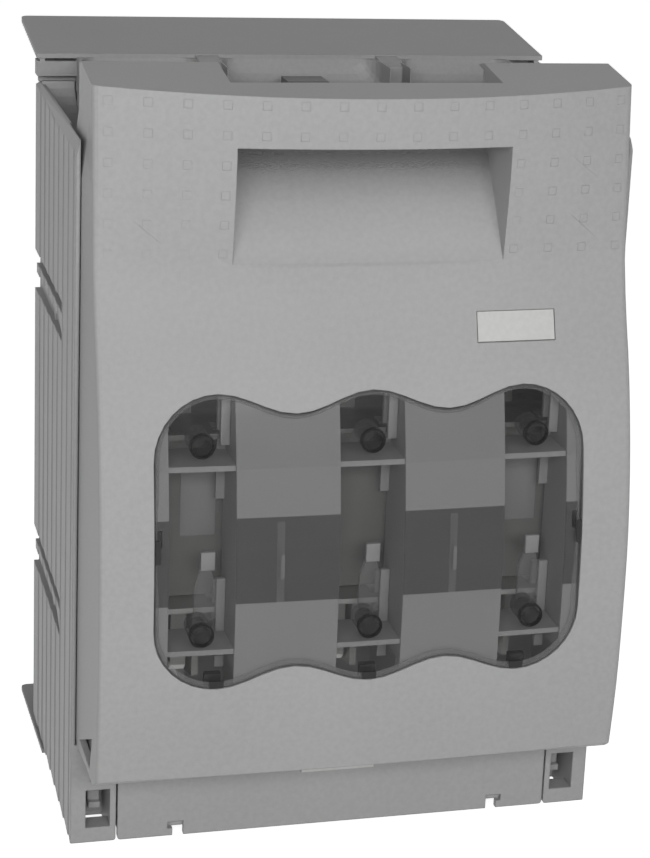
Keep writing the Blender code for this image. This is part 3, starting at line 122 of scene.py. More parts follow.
# Clear plastic: its gentle waves, and the turn away from the eye over which its tone gathers
WAVE_SCALE = 60.0
WAVE_STRENGTH = 0.08
WAVE_DEPTH = 0.0002
CLEAR_ROUGHNESS = (0.8, 1.4)
FACING_SPAN = (0.3, 0.95)

def new_material(name):
    """A material with its nodes, its links and its shader."""
    made = bpy.data.materials.new(name)
    made.use_nodes = True
    return made, made.node_tree.nodes, made.node_tree.links, made.node_tree.nodes["Principled BSDF"]


def noise(nodes, links, scale, detail=2.0, roughness=0.5, stretch=None):
    """A noise texture in the object's own coordinates."""
    place = nodes.new("ShaderNodeTexCoord")
    texture = nodes.new("ShaderNodeTexNoise")
    texture.inputs["Scale"].default_value = scale
    texture.inputs["Detail"].default_value = detail
    texture.inputs["Roughness"].default_value = roughness
    source = place.outputs["Object"]
    if stretch:
        mapping = nodes.new("ShaderNodeMapping")
        mapping.inputs["Scale"].default_value = stretch
        links.new(source, mapping.inputs["Vector"])
        source = mapping.outputs["Vector"]
    links.new(source, texture.inputs["Vector"])
    return texture.outputs["Fac"]


def ramp(nodes, links, source, low, high, start=0.3, stop=0.7):
    """A value carried from start and stop, which suit a noise, to low and high."""
    made = nodes.new("ShaderNodeMapRange")
    made.inputs["From Min"].default_value = start
    made.inputs["From Max"].default_value = stop
    made.inputs["To Min"].default_value = low
    made.inputs["To Max"].default_value = high
    links.new(source, made.inputs["Value"])
    return made.outputs["Result"]


def shade(nodes, links, source, colour, spread):
    """A colour that wanders a little either side of its value."""
    mix = nodes.new("ShaderNodeMix")
    mix.data_type = "RGBA"
    mix.inputs["A"].default_value = (*[c * (1 - spread) for c in colour], 1)
    mix.inputs["B"].default_value = (*[min(1, c * (1 + spread)) for c in colour], 1)
    links.new(source, mix.inputs["Factor"])
    return mix.outputs["Result"]


def bump(nodes, links, source, strength, distance, normal=None):
    """A normal tilted by a value's slope, on top of another normal where there is one."""
    made = nodes.new("ShaderNodeBump")
    made.inputs["Strength"].default_value = strength
    made.inputs["Distance"].default_value = distance
    links.new(source, made.inputs["Height"])
    if normal:
        links.new(normal, made.inputs["Normal"])
    return made.outputs["Normal"]


def plastic(name, colour, roughness=0.55, grain=0.25, grain_scale=1500.0, mottle=0.05, specular=0.22,
            edge=0.0):
    """Moulded plastic: spark-eroded grain, faint flow marks and soft edges."""
    made, nodes, links, shader = new_material(name)
    cloud = noise(nodes, links, CLOUD_SCALE, 3.0)
    fine = noise(nodes, links, grain_scale, 2.0, 0.6)
    speck = noise(nodes, links, grain_scale * SPECK_SHARE, 1.0)
    blend = nodes.new("ShaderNodeMix")
    blend.inputs["Factor"].default_value = CLOUD_SHARE
    links.new(ramp(nodes, links, speck, 0.0, 1.0), blend.inputs["A"])
    links.new(ramp(nodes, links, cloud, 0.0, 1.0), blend.inputs["B"])
    tone = shade(nodes, links, blend.outputs["Result"], colour, mottle)
    links.new(tone, shader.inputs["Base Color"])
    rough = ramp(nodes, links, speck, roughness - ROUGHNESS_SPREAD, roughness + ROUGHNESS_SPREAD)
    links.new(rough, shader.inputs["Roughness"])
    shader.inputs["Specular IOR Level"].default_value = specular
    rounding = None
    if edge:
        bevel = nodes.new("ShaderNodeBevel")
        bevel.samples = EDGE_SAMPLES
        bevel.inputs["Radius"].default_value = edge
        rounding = bevel.outputs["Normal"]
    links.new(bump(nodes, links, fine, grain, GRAIN_DEPTH, rounding), shader.inputs["Normal"])
    return made


def metal(name, colour, roughness):
    """Plated metal: a cloudy tone with fine lines along it."""
    made, nodes, links, shader = new_material(name)
    lines = noise(nodes, links, BRUSH_SCALE, 4.0, 0.7, BRUSH_STRETCH)
    cloud = noise(nodes, links, PLATE_SCALE, 3.0)
    tone = shade(nodes, links, ramp(nodes, links, cloud, 0.0, 1.0), colour, PLATE_MOTTLE)
    links.new(tone, shader.inputs["Base Color"])
    low, high = PLATE_ROUGHNESS
    links.new(ramp(nodes, links, lines, roughness * low, roughness * high), shader.inputs["Roughness"])
    shader.inputs["Metallic"].default_value = 1.0
    links.new(bump(nodes, links, lines, BRUSH_STRENGTH, BRUSH_DEPTH), shader.inputs["Normal"])
    return made


def clear_plastic(name, tint, face_on, edge_on, roughness=0.2, specular=0.35):
    """Clear moulding: it lets most light through, and gathers more tone where it is seen edge on."""
    made, nodes, links, shader = new_material(name)
    waves = noise(nodes, links, WAVE_SCALE, 2.0)
    facing = nodes.new("ShaderNodeLayerWeight")
    facing.inputs["Blend"].default_value = 0.5
    shader.inputs["Base Color"].default_value = (*tint, 1)
    density = ramp(nodes, links, facing.outputs["Facing"], face_on, edge_on, *FACING_SPAN)
    links.new(density, shader.inputs["Alpha"])
    low, high = CLEAR_ROUGHNESS
    links.new(ramp(nodes, links, waves, roughness * low, roughness * high), shader.inputs["Roughness"])
    shader.inputs["Specular IOR Level"].default_value = specular
    links.new(bump(nodes, links, waves, WAVE_STRENGTH, WAVE_DEPTH), shader.inputs["Normal"])
    return made


# Heights of the printed sheet, of its printed dark band and of the line where its upper part starts, and
# their tones; the upper part's darker tone is painted shade
PRINT_RANGE = (0.060, 0.210)
PRINT_BAND = (0.1115, 0.1435)
PAINTED_SHADE_LINE = 0.161
PRINT_LIGHT, PRINT_DARK, PAINTED_SHADE_TONE = 1.0, 0.29, 0.93

def printed_sheet(name):
    """The blank printed sheet: a printed dark band across it, and painted shade that makes its upper part
    slightly darker, by height.
    """
    made = plastic(name, (0.277, 0.277, 0.277), 0.6, grain=0.015, mottle=0.03, specular=0.15)
    nodes, links = made.node_tree.nodes, made.node_tree.links
    shader = nodes["Principled BSDF"]
    parts = nodes.new("ShaderNodeSeparateXYZ")
    place = nodes.new("ShaderNodeTexCoord")
    links.new(place.outputs["Object"], parts.inputs["Vector"])
    tones = nodes.new("ShaderNodeValToRGB")
    tones.color_ramp.interpolation = "CONSTANT"
    low, high = PRINT_RANGE
    # The last stop darkens the upper part: painted shade
    stops = [(low, PRINT_LIGHT), (PRINT_BAND[0], PRINT_DARK), (PRINT_BAND[1], PRINT_LIGHT),
             (PAINTED_SHADE_LINE, PAINTED_SHADE_TONE)]
    while len(tones.color_ramp.elements) < len(stops):
        tones.color_ramp.elements.new(1.0)
    for element, (at, tone) in zip(tones.color_ramp.elements, stops):
        element.position = (at - low) / (high - low)
        element.color = (tone, tone, tone, 1)
    share = ramp(nodes, links, parts.outputs["Z"], 0.0, 1.0, low - ORIGIN_HEIGHT, high - ORIGIN_HEIGHT)
    links.new(share, tones.inputs["Fac"])
    mottle_print_and_shade = nodes.new("ShaderNodeMix")
    mottle_print_and_shade.data_type = "RGBA"
    mottle_print_and_shade.blend_type = "MULTIPLY"
    mottle_print_and_shade.inputs["Factor"].default_value = 1.0
    mottled = shader.inputs["Base Color"].links[0].from_socket
    links.new(tones.outputs["Color"], mottle_print_and_shade.inputs["A"])
    links.new(mottled, mottle_print_and_shade.inputs["B"])
    links.new(mottle_print_and_shade.outputs["Result"], shader.inputs["Base Color"])
    return made


HOUSING = plastic("housing_plastic", (0.33, 0.33, 0.33), 0.5, edge=0.0008)
SHROUD = plastic("shroud_plastic", (0.31, 0.31, 0.31), 0.5, edge=0.0004)
FRAME = plastic("frame_plastic", (0.24, 0.24, 0.24), 0.6, edge=0.0004)
COVER = plastic("cover_plastic", (0.36, 0.36, 0.36), 0.5, edge=0.0006)
CARRIER = plastic("carrier_plastic", (0.29, 0.29, 0.29), 0.55, edge=0.0003)
BLACK = plastic("black_plastic", (0.02, 0.02, 0.02), 0.4)
CATCH = plastic("catch_plastic", (0.14, 0.14, 0.14), 0.5, edge=0.0004)
WHITE = plastic("white_plastic", (0.53, 0.53, 0.52), 0.45, grain=0.1)
INSERT = printed_sheet("insert_sheet")
# Steatite darker than the bare stone: partly its own tone, partly painted shade for the dim fuse bodies
# behind the window
CERAMIC = plastic("steatite", (0.165, 0.165, 0.16), 0.6, grain=0.4, grain_scale=700.0, mottle=0.06)
CLEAR = clear_plastic("clear_window", (0.1, 0.1, 0.1), 0.11, 0.6)
CLEAR_STEM = clear_plastic("clear_stem", (0.4, 0.4, 0.4), 0.14, 0.9)
CLEAR_RIM = clear_plastic("clear_rim", (0.36, 0.36, 0.36), 0.22, 0.4, 0.25)
# Near-black strip round the pane: painted shade for the shadow in the gap round it
GAP_SHADE = plastic("gap_shade_line", (0.07, 0.07, 0.07), 0.6)
# Near-black for the socket collars: painted shade for the dark ring where each clear socket meets the pane
PAINTED_RING_SHADE = clear_plastic("clear_collar", (0.01, 0.01, 0.01), 0.8, 0.92, 0.3, 0.1)
SHADED = clear_plastic("clear_cap", (0.05, 0.05, 0.05), 0.15, 0.4, 0.3, 0.2)
LABEL = plastic("fuse_label", (0.27, 0.27, 0.27), 0.6, grain=0.02, specular=0.1)
TIP = plastic("tongue_tip", (0.34, 0.34, 0.34), 0.5, grain=0.05)
# Light tints for the pane's ribs: a painted sheen along each rib and a painted glint beside it
SHEEN = clear_plastic("clear_rib", (0.5, 0.5, 0.5), 0.05, 0.12, 0.3)
GLINT = clear_plastic("clear_glint", (0.7, 0.7, 0.7), 0.08, 0.2, 0.3)
# Silver and tinned copper darker than bare plate: partly their own tone, partly painted shade for the dim
# inside behind the window
SILVER = metal("silver_plate", (0.13, 0.13, 0.125), 0.45)
COPPER = metal("tinned_copper", (0.2, 0.195, 0.19), 0.45)
# A lighter copy of the silver: painted light for the lower contacts and jaws, which sit where more light
# falls
LIT_SILVER = metal("silver_painted_light", (0.42, 0.42, 0.41), 0.5)
STEEL = metal("zinc_plate", (0.42, 0.42, 0.43), 0.4)

LOOKS = {
    "housing": HOUSING,
    "shroud": SHROUD,
    "frame": FRAME,
    "cover": COVER,
    "carrier": CARRIER,
    "clear": CLEAR,
    "black": BLACK,
    "white": WHITE,
    "insert": INSERT,
    "ceramic": CERAMIC,
    "silver": SILVER,
    "copper": COPPER,
    "steel": STEEL,
}
for entry in frame["record"]["subparts"]:
    mesh = NODES[entry["node"]].data
    mesh.materials.clear()
    mesh.materials.append(LOOKS[entry["material_slot"]])
NODES["cover_catch"].data.materials[0] = CATCH
# The lower contacts and jaws take the lighter copy of the silver: painted light
for number in range(1, len(POLES) + 1):
    NODES[f"fuse_lower_contact_{number}"].data.materials[0] = LIT_SILVER
    NODES[f"lower_jaw_{number}"].data.materials[0] = LIT_SILVER


# The cover's surface

def through(points, at):
    """A smooth curve through (position, value) points."""
    positions = [p for p, _ in points]
    values = [v for _, v in points]
    last = len(points) - 1
    if at <= positions[0]:
        return values[0]
    if at >= positions[last]:
        return values[last]
    i = max(k for k in range(last) if positions[k] <= at)

    def slope(k):
        a, b = max(k - 1, 0), min(k + 1, last)
        return (values[b] - values[a]) / (positions[b] - positions[a])

    width = positions[i + 1] - positions[i]
    t = (at - positions[i]) / width
    return ((2 * t**3 - 3 * t**2 + 1) * values[i] + (t**3 - 2 * t**2 + t) * width * slope(i)
            + (3 * t**2 - 2 * t**3) * values[i + 1] + (t**3 - t**2) * width * slope(i + 1))


def cover_face(x, height):
    """Depth of the cover's outer surface: bowed across, fullest along the handle."""
    if height < COVER_CREASE:
        edge = through(COVER_PROFILE, height)
        t = min(1.0, max(0.0, (height - COVER_CREASE + COVER_BULGE_RUN) / COVER_BULGE_RUN))
        bulge = COVER_BULGE_LOW + (COVER_BULGE_CREASE - COVER_BULGE_LOW) * t
    else:
        t = min(1.0, (height - COVER_CREASE) / (COVER_TOP - COVER_CREASE))
        edge = COVER_PROFILE[-1][1] + (COVER_TOP_DEPTH - COVER_PROFILE[-1][1]) * t
        bulge = COVER_BULGE_CREASE + (COVER_BULGE_TOP - COVER_BULGE_CREASE) * math.sin(t * math.pi / 2)
    across = min(1.0, abs(x) / COVER_HALF)
    rim = max(0.0, (abs(x) - COVER_HALF + COVER_EDGE) / COVER_EDGE)
    return edge + bulge * (1 - across**2) - COVER_EDGE * (1 - math.sqrt(max(0.0, 1 - rim**2)))


REACH = 0.001

def face_normal(x, height):
    """The way that the cover's surface faces at a point of it, from points a short reach away."""
    across = (cover_face(x + REACH, height) - cover_face(x - REACH, height)) / (2 * REACH)
    up = (cover_face(x, height + REACH) - cover_face(x, height - REACH)) / (2 * REACH)
    return Vector((-across, -1.0, -up)).normalized()


def add_object(name, mesh, material, body="cover"):
    """A piece with its own material, riding on a body."""
    mesh.materials.clear()
    mesh.materials.append(material)
    thing = bpy.data.objects.new(name, mesh)
    bpy.context.scene.collection.objects.link(thing)
    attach(thing, body)
    return thing


def solid(loops):
    """A closed mesh through matching loops of (x, depth, height) points, the ends capped."""
    shape = bmesh.new()
    rings = [[shape.verts.new((x, -depth, z - ORIGIN_HEIGHT)) for x, depth, z in loop] for loop in loops]
    shape.faces.new(rings[0])
    shape.faces.new(rings[-1])
    for lower, upper in zip(rings, rings[1:]):
        for i in range(len(lower)):
            shape.faces.new((lower[i - 1], lower[i], upper[i], upper[i - 1]))
    return shape


def join_rings(shape, rings):
    """Faces between matching rings of vertices, and from the last ring back to the first."""
    for ring, following in zip(rings, rings[1:] + rings[:1]):
        for i in range(len(ring)):
            shape.faces.new((ring[i - 1], ring[i], following[i], following[i - 1]))


SHARP_ANGLE = math.radians(40)

def to_mesh(shape, name):
    """The finished mesh, smooth but for its sharp edges."""
    bmesh.ops.recalc_face_normals(shape, faces=shape.faces)
    mesh = bpy.data.meshes.new(name)
    shape.to_mesh(mesh)
    shape.free()
    mesh.shade_smooth()
    mesh.set_sharp_from_angle(angle=SHARP_ANGLE)
    return mesh


PAD_SHOWN = 0.0001

# A facet lies on the cover's front if its corners stand this close to the surface and it faces nearly
# as the surface does, or if it is a sliver whose corners are level with each other
ON_FACE = 0.00045
FACING = 0.6
LEVEL = 0.00026
SLIVER = 0.0000003

# Height on the finger recess's floor, and how far its scooped face looks up there; the floor's facets
# are those inside RECESS_HALF and RECESS_SPAN that are large and look forward
RECESS_TURN = ((0.233, 0.42), (0.2514, -0.2), (0.2676, -0.9), (0.2782, -0.7), (0.2888, -0.4))
RECESS_HALF = 0.051
RECESS_SPAN = (0.236, 0.287)
RECESS_FACET = 0.0005
RECESS_FORWARD = 0.7

def recess_normal(height):
    """The way that the recess's scooped floor faces at a height."""
    up = through(RECESS_TURN, height)
    return Vector((0.0, -math.sqrt(1 - up**2), up))


def hinged_cover():
    """The cover's own shell, shaded by its true surface, with a scooped recess and low pads."""
    mesh = NODES["cover_shell"].data.copy()
    normals = [corner.vector.copy() for corner in mesh.corner_normals]
    stand = [-v.co.y - cover_face(v.co.x, v.co.z + ORIGIN_HEIGHT) for v in mesh.vertices]
    flat_half = COVER_HALF - COVER_EDGE
    for face in mesh.polygons:
        heights = [stand[v] for v in face.vertices]
        level = max(heights) - min(heights) < LEVEL and face.area < SLIVER
        outward = face_normal(face.center.x, face.center.z + ORIGIN_HEIGHT)
        smooth = max(map(abs, heights)) < ON_FACE and (level or face.normal.dot(outward) > FACING)
        if smooth and abs(face.center.x) < flat_half:
            for corner in face.loop_indices:
                place = mesh.vertices[mesh.loops[corner].vertex_index].co
                inside = max(REACH - flat_half, min(flat_half - REACH, place.x))
                normals[corner] = face_normal(inside, place.z + ORIGIN_HEIGHT)
        height = face.center.z + ORIGIN_HEIGHT
        scooped = abs(face.center.x) < RECESS_HALF and RECESS_SPAN[0] < height < RECESS_SPAN[1]
        if scooped and face.area > RECESS_FACET and face.normal.y < -RECESS_FORWARD:
            for corner in face.loop_indices:
                place = mesh.vertices[mesh.loops[corner].vertex_index].co
                normals[corner] = recess_normal(place.z + ORIGIN_HEIGHT)
    for vertex, raised in zip(mesh.vertices, stand):
        if abs(raised - PAD_RAISE) < PAD_RAISE / 3:
            vertex.co.y += PAD_RAISE - PAD_SHOWN
    mesh.shade_smooth()
    mesh.normals_split_custom_set(normals)
    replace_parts(add_object("hinged_cover", mesh, COVER), "cover_shell")


# The window: its rim, its sockets' collars, its hooks and moulded ribs

RING_STEPS = 48
LOBE_STEPS = 20
WAVE_STEPS = 60

def arc(centre, radius, start, end, steps):
    """Points along an arc, with both of its ends, turned anticlockwise in degrees."""
    turns = [math.radians(start + (end - start) * i / steps) for i in range(steps + 1)]
    return [(centre[0] + radius * math.cos(t), centre[1] + radius * math.sin(t)) for t in turns]


def circle(centre, radius):
    """Points around a circle, each of them once."""
    return arc(centre, radius, 0, 360 - 360 / RING_STEPS, RING_STEPS - 1)


def window_outline(grow):
    """The wavy outline: round corner lobes joined by waves with a crest at each pole."""
    reach = WINDOW_LOBE_RADIUS
    radius = reach + grow

    def wave(edge, sign):
        points = []
        for i in range(1, WAVE_STEPS):
            x = WINDOW_LOBE_X * (1 - 2 * i / WAVE_STEPS)
            dip = WINDOW_WAVE * (1 - math.cos(2 * math.pi * x / WINDOW_LOBE_X))
            points.append((x, edge + sign * (grow - dip)))
        return points

    outline = arc((WINDOW_LOBE_X, WINDOW_TOP - reach), radius, 0, 90, LOBE_STEPS)
    outline += wave(WINDOW_TOP, 1)
    outline += arc((-WINDOW_LOBE_X, WINDOW_TOP - reach), radius, 90, 180, LOBE_STEPS)
    outline += arc((-WINDOW_LOBE_X, WINDOW_BOTTOM + reach), radius, 180, 270, LOBE_STEPS)
    outline += [(-x, z) for x, z in wave(WINDOW_BOTTOM, -1)]
    outline += arc((WINDOW_LOBE_X, WINDOW_BOTTOM + reach), radius, 270, 360, LOBE_STEPS)
    return outline


def border(name, section, material):
    """A strip around the window: (inset, sink) pairs give its section."""
    shape = bmesh.new()
    rings = []
    for inset, sink in section:
        rings.append([shape.verts.new((x, sink - cover_face(x, z), z - ORIGIN_HEIGHT))
                      for x, z in window_outline(-inset)])
    join_rings(shape, rings)
    return add_object(name, to_mesh(shape, name), material)


def patch(name, x, height, sinks, material):
    """A small plate whose faces follow the cover's surface at two sinks."""
    width = (x[0], (x[0] + x[1]) / 2, x[1])
    around = [(a, height[0]) for a in width] + [(a, height[1]) for a in reversed(width)]
    loops = [[(a, cover_face(a, b) - sink, b) for a, b in around] for sink in sinks]
    return add_object(name, to_mesh(solid(loops), name), material)


# Sinks are depths below the cover's surface, front and back
# The near-black strip round the pane is painted shade for the gap's shadow
GAP_SHADE_INSET, GAP_SHADE_WIDTH = 0.0003, 0.0004
GAP_SHADE_SINKS = (0.0003, 0.0009)
RIM_INSET, RIM_WIDTH = 0.0004, 0.0015
RIM_SINKS = (0.00022, 0.0004)
COLLAR_OUTER, COLLAR_INNER, COLLAR_LENGTH = 0.0047, 0.0039, 0.0016
CAP_GAP, CAP_THICK = 0.0002, 0.0005
HOOK_HALF, HOOK_LENGTH = 0.0026, 0.0032
HOOK_INSET = 0.0004
HOOK_SINKS = (0.00005, 0.0004)
SIDE_HOOK_SPAN = (0.1290, 0.1375)
SIDE_HOOK_WIDTH = 0.0018
RIB_PLACES = (("left", -0.0349), ("right", 0.0303))
RIB_HALF = 0.0014
RIB_SPAN = (0.1125, 0.1430)
RIB_SINKS = (0.00015, 0.0003)
GLINT_HALF = 0.0007
GLINT_SPAN = (0.1215, 0.1305)
GLINT_SINKS = (0.0001, 0.0003)

def window_borders():
    """A near-black strip round the pane, painted shade for the shadow in the gap there, and the pane's
    sloping rim.
    """
    inner = GAP_SHADE_WIDTH + GAP_SHADE_INSET
    front, back = GAP_SHADE_SINKS
    section = [(GAP_SHADE_INSET, front), (GAP_SHADE_INSET, back), (inner, back), (inner, front)]
    border("window_gap_shade", section, GAP_SHADE)
    outer = GAP_SHADE_WIDTH + RIM_INSET
    inner += RIM_WIDTH
    front, back = RIM_SINKS
    section = [(outer, front), (inner, front + RIM_WIDTH), (inner, back + RIM_WIDTH), (outer, back)]
    border("window_rim", section, CLEAR_RIM)


def socket_end(number, x, height):
    """The collar where a socket joins the pane, near-black as painted shade for the dark ring seen there,
    and the cap inside it.
    """
    start = cover_face(x, height) - WINDOW_SINK - WINDOW_THICK
    shape = bmesh.new()
    rings = []
    for radius, depth in ((COLLAR_OUTER, start), (COLLAR_OUTER, start - COLLAR_LENGTH),
                          (COLLAR_INNER, start - COLLAR_LENGTH), (COLLAR_INNER, start)):
        rings.append([shape.verts.new((a, -depth, b - ORIGIN_HEIGHT))
                      for a, b in circle((x, height), radius)])
    join_rings(shape, rings)
    add_object(f"socket_collar_{number}", to_mesh(shape, "collar"), PAINTED_RING_SHADE)
    cap = [[(a, depth, b) for a, b in circle((x, height), COLLAR_INNER - CAP_GAP)]
           for depth in (start - CAP_GAP, start - CAP_GAP - CAP_THICK)]
    add_object(f"socket_cap_{number}", to_mesh(solid(cap), "cap"), SHADED)


def socket_ends():
    """The ends of the six probe sockets, two to a pole."""
    places = [(pole, FUSE_CENTRE + side * SOCKET_REACH) for pole in POLES for side in (1, -1)]
    for number, (x, height) in enumerate(places, 1):
        socket_end(number, x, height)


def window_hooks():
    """Three hooks along the pane's bottom edge and one at each side."""
    heights = (WINDOW_BOTTOM + HOOK_INSET, WINDOW_BOTTOM + HOOK_LENGTH)
    for number, x in enumerate((-WINDOW_LOBE_X, 0.0, WINDOW_LOBE_X), 1):
        patch(f"window_hook_{number}", (x - HOOK_HALF, x + HOOK_HALF), heights, HOOK_SINKS, BLACK)
    edge = WINDOW_LOBE_X + WINDOW_LOBE_RADIUS - HOOK_INSET
    for number, side in ((4, -1), (5, 1)):
        limits = tuple(sorted((side * edge, side * (edge - SIDE_HOOK_WIDTH))))
        patch(f"window_hook_{number}", limits, SIDE_HOOK_SPAN, HOOK_SINKS, BLACK)


def window_ribs():
    """Two ribs moulded in the pane, tinted light as a painted sheen, with a painted glint on the right of
    each.
    """
    for word, x in RIB_PLACES:
        patch(f"window_rib_{word}", (x - RIB_HALF, x + RIB_HALF), RIB_SPAN, RIB_SINKS, SHEEN)
        x += RIB_HALF - GLINT_HALF
        limits = (x - GLINT_HALF, x + GLINT_HALF)
        patch(f"window_glint_{word}", limits, GLINT_SPAN, GLINT_SINKS, GLINT)


# A dark plate behind the three-cornered opening in each skirt: painted shade for the shadowed inside seen
# through it

SKIRT_SHADE_OUTLINE = ((0.1705, 0.0430), (0.1705, 0.0600), (0.1975, 0.0600), (0.1935, 0.0422))
SKIRT_INSIDE = 0.0993
SHADE_PLATE_THICK = 0.0005

def skirt_shade_plates():
    """A dark plate against the inside of each skirt, painted shade for the shadow behind its opening."""
    for word, side in (("left", -1), ("right", 1)):
        loops = [[(side * x, depth, height) for depth, height in SKIRT_SHADE_OUTLINE]
                 for x in (SKIRT_INSIDE, SKIRT_INSIDE - SHADE_PLATE_THICK)]
        # The catch's dark grey serves here as painted shade
        add_object(f"skirt_shade_plate_{word}", to_mesh(solid(loops), "shade_plate"), CATCH)


# Behind the window: the carrier's front stops, the fuses' labels and tongues

STOP_X = (0.0086, 0.0121)
STOP_DEPTH = (0.1866, 0.1888)
STOP_SPANS = ((0.1665, 0.1868), (0.0935, 0.1145), (0.0792, 0.0838))
LABELLED = (1, 3)
LABEL_X = (-0.0028, 0.0105)
LABEL_SPAN = (0.1262, 0.1600)
LABEL_THICK = 0.0003
LABEL_BEVEL = 0.0001
BLOCK_BEVEL = 0.0003
TIP_HALF, TIP_LOW, TIP_HIGH = 0.0027, 0.1178, 0.1250

# The clear stem under a tip: half widths, heights, its shift from the tip and the run of its slopes
STEM_NECK, STEM_HALF, STEM_SHOULDER, STEM_LOW = 0.0023, 0.0041, 0.1135, 0.0980
STEM_SHIFT = 0.0007
SHOULDER_RUN, SHOULDER_SHARE = 0.002, 0.9
NECK_RUN, NECK_FLARE = 0.001, 1.1
FOOT_STEPS = 6

def block(name, x, depth, height, material, bevel=BLOCK_BEVEL):
    """A box with rounded edges."""
    around = ((x[0], height[0]), (x[1], height[0]), (x[1], height[1]), (x[0], height[1]))
    shape = solid([[(a, d, b) for a, b in around] for d in depth])
    bmesh.ops.bevel(shape, geom=shape.edges[:], offset=bevel, segments=3, affect="EDGES", profile=0.5)
    return add_object(name, to_mesh(shape, name), material)


def stem_outline(x):
    """A bottle: round foot, straight sides and a sloping shoulder up to the neck."""
    foot = STEM_HALF / 2
    right = arc((x + STEM_HALF - foot, STEM_LOW + foot), foot, 270, 360, FOOT_STEPS)
    right += [(x + STEM_HALF, STEM_SHOULDER - SHOULDER_RUN), (x + STEM_HALF * SHOULDER_SHARE, STEM_SHOULDER),
              (x + STEM_NECK * NECK_FLARE, TIP_LOW - NECK_RUN), (x + STEM_NECK, TIP_LOW)]
    return right + [(2 * x - a, b) for a, b in reversed(right)]


def carrier_stops(number, pole):
    """Three small stops on the carrier's front, to the right of a fuse's middle."""
    x = (pole + STOP_X[0], pole + STOP_X[1])
    for word, span in zip(("high", "middle", "low"), STOP_SPANS):
        block(f"carrier_stop_{word}_{number}", x, STOP_DEPTH, span, CARRIER)


def fuse_label(number, pole):
    """A blank label on the front of a fuse's body."""
    x = (pole + LABEL_X[0], pole + LABEL_X[1])
    depth = (FUSE_FRONT, FUSE_FRONT + LABEL_THICK)
    block(f"fuse_label_{number}", x, depth, LABEL_SPAN, LABEL, LABEL_BEVEL)


def tongue(number, pole):
    """A short tip in place of the plain tongue, and the clear stem under it."""
    middle = pole + TONGUE_X
    depth = (TONGUE_DEPTH, TONGUE_DEPTH + TONGUE_THICK)
    width = (middle - TIP_HALF, middle + TIP_HALF)
    tip = block(f"tongue_tip_{number}", width, depth, (TIP_LOW, TIP_HIGH), TIP)
    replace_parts(tip, f"fuse_tongue_{number}")
    loops = [[(a, d, b) for a, b in stem_outline(middle - STEM_SHIFT)] for d in depth]
    add_object(f"tongue_stem_{number}", to_mesh(solid(loops), "stem"), CLEAR_STEM)


def behind_the_window():
    """What shows at each pole through the pane; only the outer fuses show a label."""
    for number, pole in enumerate(POLES, 1):
        carrier_stops(number, pole)
        if number in LABELLED:
            fuse_label(number, pole)
        tongue(number, pole)


# Floor, light and camera

# Strength of the light at the horizon and overhead, the heights that it dims between, and the light
# that the floor gives off where the camera sees it
WORLD_LIGHT = 0.28
OVERHEAD_LIGHT = 0.06
SKY_SPAN = (0.1, 0.9)
FLOOR_LIFT = 0.86
FLOOR_HALF = 6.0
FLOOR_GAP = 0.002

# The photograph's camera: its place, the way that its frame turns, its lens and the crop of its frame
CAMERA_PLACE = (-0.2142, -0.9704, 0.2912)
CAMERA_RIGHT = (0.96336, -0.26385, 0.04814)
CAMERA_UP = (0.02943, 0.28236, 0.95885)
CAMERA_BACK = (-0.26656, -0.92232, 0.27978)
CAMERA_SENSOR = 36.0
CAMERA_LENS = 96.92
CAMERA_SHIFT = (-0.0875, -0.0900)

# Place, the point that it is aimed at, size and power of each lamp
LAMPS = {
    "key": ((-0.25, -1.64, 0.60), (0.0, -0.1, 0.0), (1.5, 0.45), 19.0),
    "side_fill": ((-1.60, -0.45, 0.30), (-0.1, -0.1, 0.0), (1.0, 1.0), 1.6),
}

def lamp(name, place, aim, size, power):
    """A rectangular lamp, aimed at a point."""
    data = bpy.data.lights.new(name, "AREA")
    data.shape = "RECTANGLE"
    data.size, data.size_y = size
    data.energy = power
    thing = bpy.data.objects.new(name, data)
    thing.location = place
    thing.rotation_euler = (Vector(aim) - Vector(place)).to_track_quat("-Z", "Y").to_euler()
    bpy.context.scene.collection.objects.link(thing)


def floor():
    """A wide floor that catches the shadow and looks as light as the backdrop."""
    shape = bmesh.new()
    height = CAD_BOX[0].z - FLOOR_GAP
    corners = ((-1, -1), (1, -1), (1, 1), (-1, 1))
    shape.faces.new([shape.verts.new((x * FLOOR_HALF, y * FLOOR_HALF, height)) for x, y in corners])
    mesh = bpy.data.meshes.new("floor")
    shape.to_mesh(mesh)
    shape.free()
    thing = bpy.data.objects.new("floor", mesh)
    bpy.context.scene.collection.objects.link(thing)
    made, nodes, links, shader = new_material("floor_paper")
    shader.inputs["Base Color"].default_value = (0.9, 0.9, 0.9, 1)
    shader.inputs["Roughness"].default_value = 0.9
    shader.inputs["Specular IOR Level"].default_value = 0.1
    shader.inputs["Emission Color"].default_value = (1, 1, 1, 1)
    links.new(seen_as_backdrop(nodes, links, 0.0, FLOOR_LIFT), shader.inputs["Emission Strength"])
    mesh.materials.append(made)


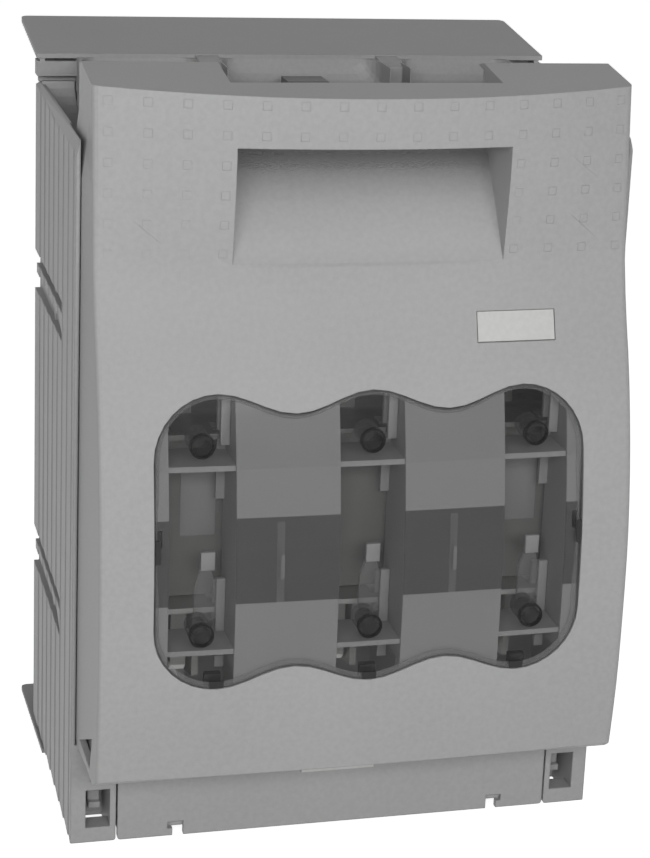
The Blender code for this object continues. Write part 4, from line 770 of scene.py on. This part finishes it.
def seen_as_backdrop(nodes, links, plain, seen):
    """A strength that is one value for light and another where the camera, gloss or glass sees it."""
    path = nodes.new("ShaderNodeLightPath")
    value = path.outputs["Is Camera Ray"]
    for ray in ("Is Glossy Ray", "Is Transmission Ray"):
        either = nodes.new("ShaderNodeMath")
        either.operation = "MAXIMUM"
        links.new(value, either.inputs[0])
        links.new(path.outputs[ray], either.inputs[1])
        value = either.outputs["Value"]
    strength = nodes.new("ShaderNodeMapRange")
    strength.inputs["To Min"].default_value = plain
    strength.inputs["To Max"].default_value = seen
    links.new(value, strength.inputs["Value"])
    return strength.outputs["Result"]


def world():
    """A white backdrop for the camera, and a light that dims from the horizon to overhead."""
    made = bpy.data.worlds.new("studio")
    bpy.context.scene.world = made
    made.use_nodes = True
    nodes, links = made.node_tree.nodes, made.node_tree.links
    nodes["Background"].inputs["Color"].default_value = (1, 1, 1, 1)
    strength = seen_as_backdrop(nodes, links, WORLD_LIGHT, 1.0)
    way = nodes.new("ShaderNodeTexCoord")
    parts = nodes.new("ShaderNodeSeparateXYZ")
    links.new(way.outputs["Generated"], parts.inputs["Vector"])
    height = ramp(nodes, links, parts.outputs["Z"], WORLD_LIGHT, OVERHEAD_LIGHT, *SKY_SPAN)
    links.new(height, strength.node.inputs["To Min"])
    links.new(strength, nodes["Background"].inputs["Strength"])


def camera():
    """The photograph's camera, with its crop."""
    data = bpy.data.cameras.new("camera")
    data.sensor_width = CAMERA_SENSOR
    data.lens = CAMERA_LENS
    data.shift_x, data.shift_y = CAMERA_SHIFT
    thing = bpy.data.objects.new("camera", data)
    turn = Matrix((CAMERA_RIGHT, CAMERA_UP, CAMERA_BACK)).transposed().to_4x4()
    thing.matrix_world = Matrix.Translation(CAMERA_PLACE) @ turn
    bpy.context.scene.collection.objects.link(thing)
    bpy.context.scene.camera = thing


hinged_cover()
window_borders()
socket_ends()
window_hooks()
window_ribs()
skirt_shade_plates()
behind_the_window()
floor()
world()
camera()
for name, settings in LAMPS.items():
    lamp(name, *settings)
bpy.context.scene.view_settings.view_transform = "Standard"
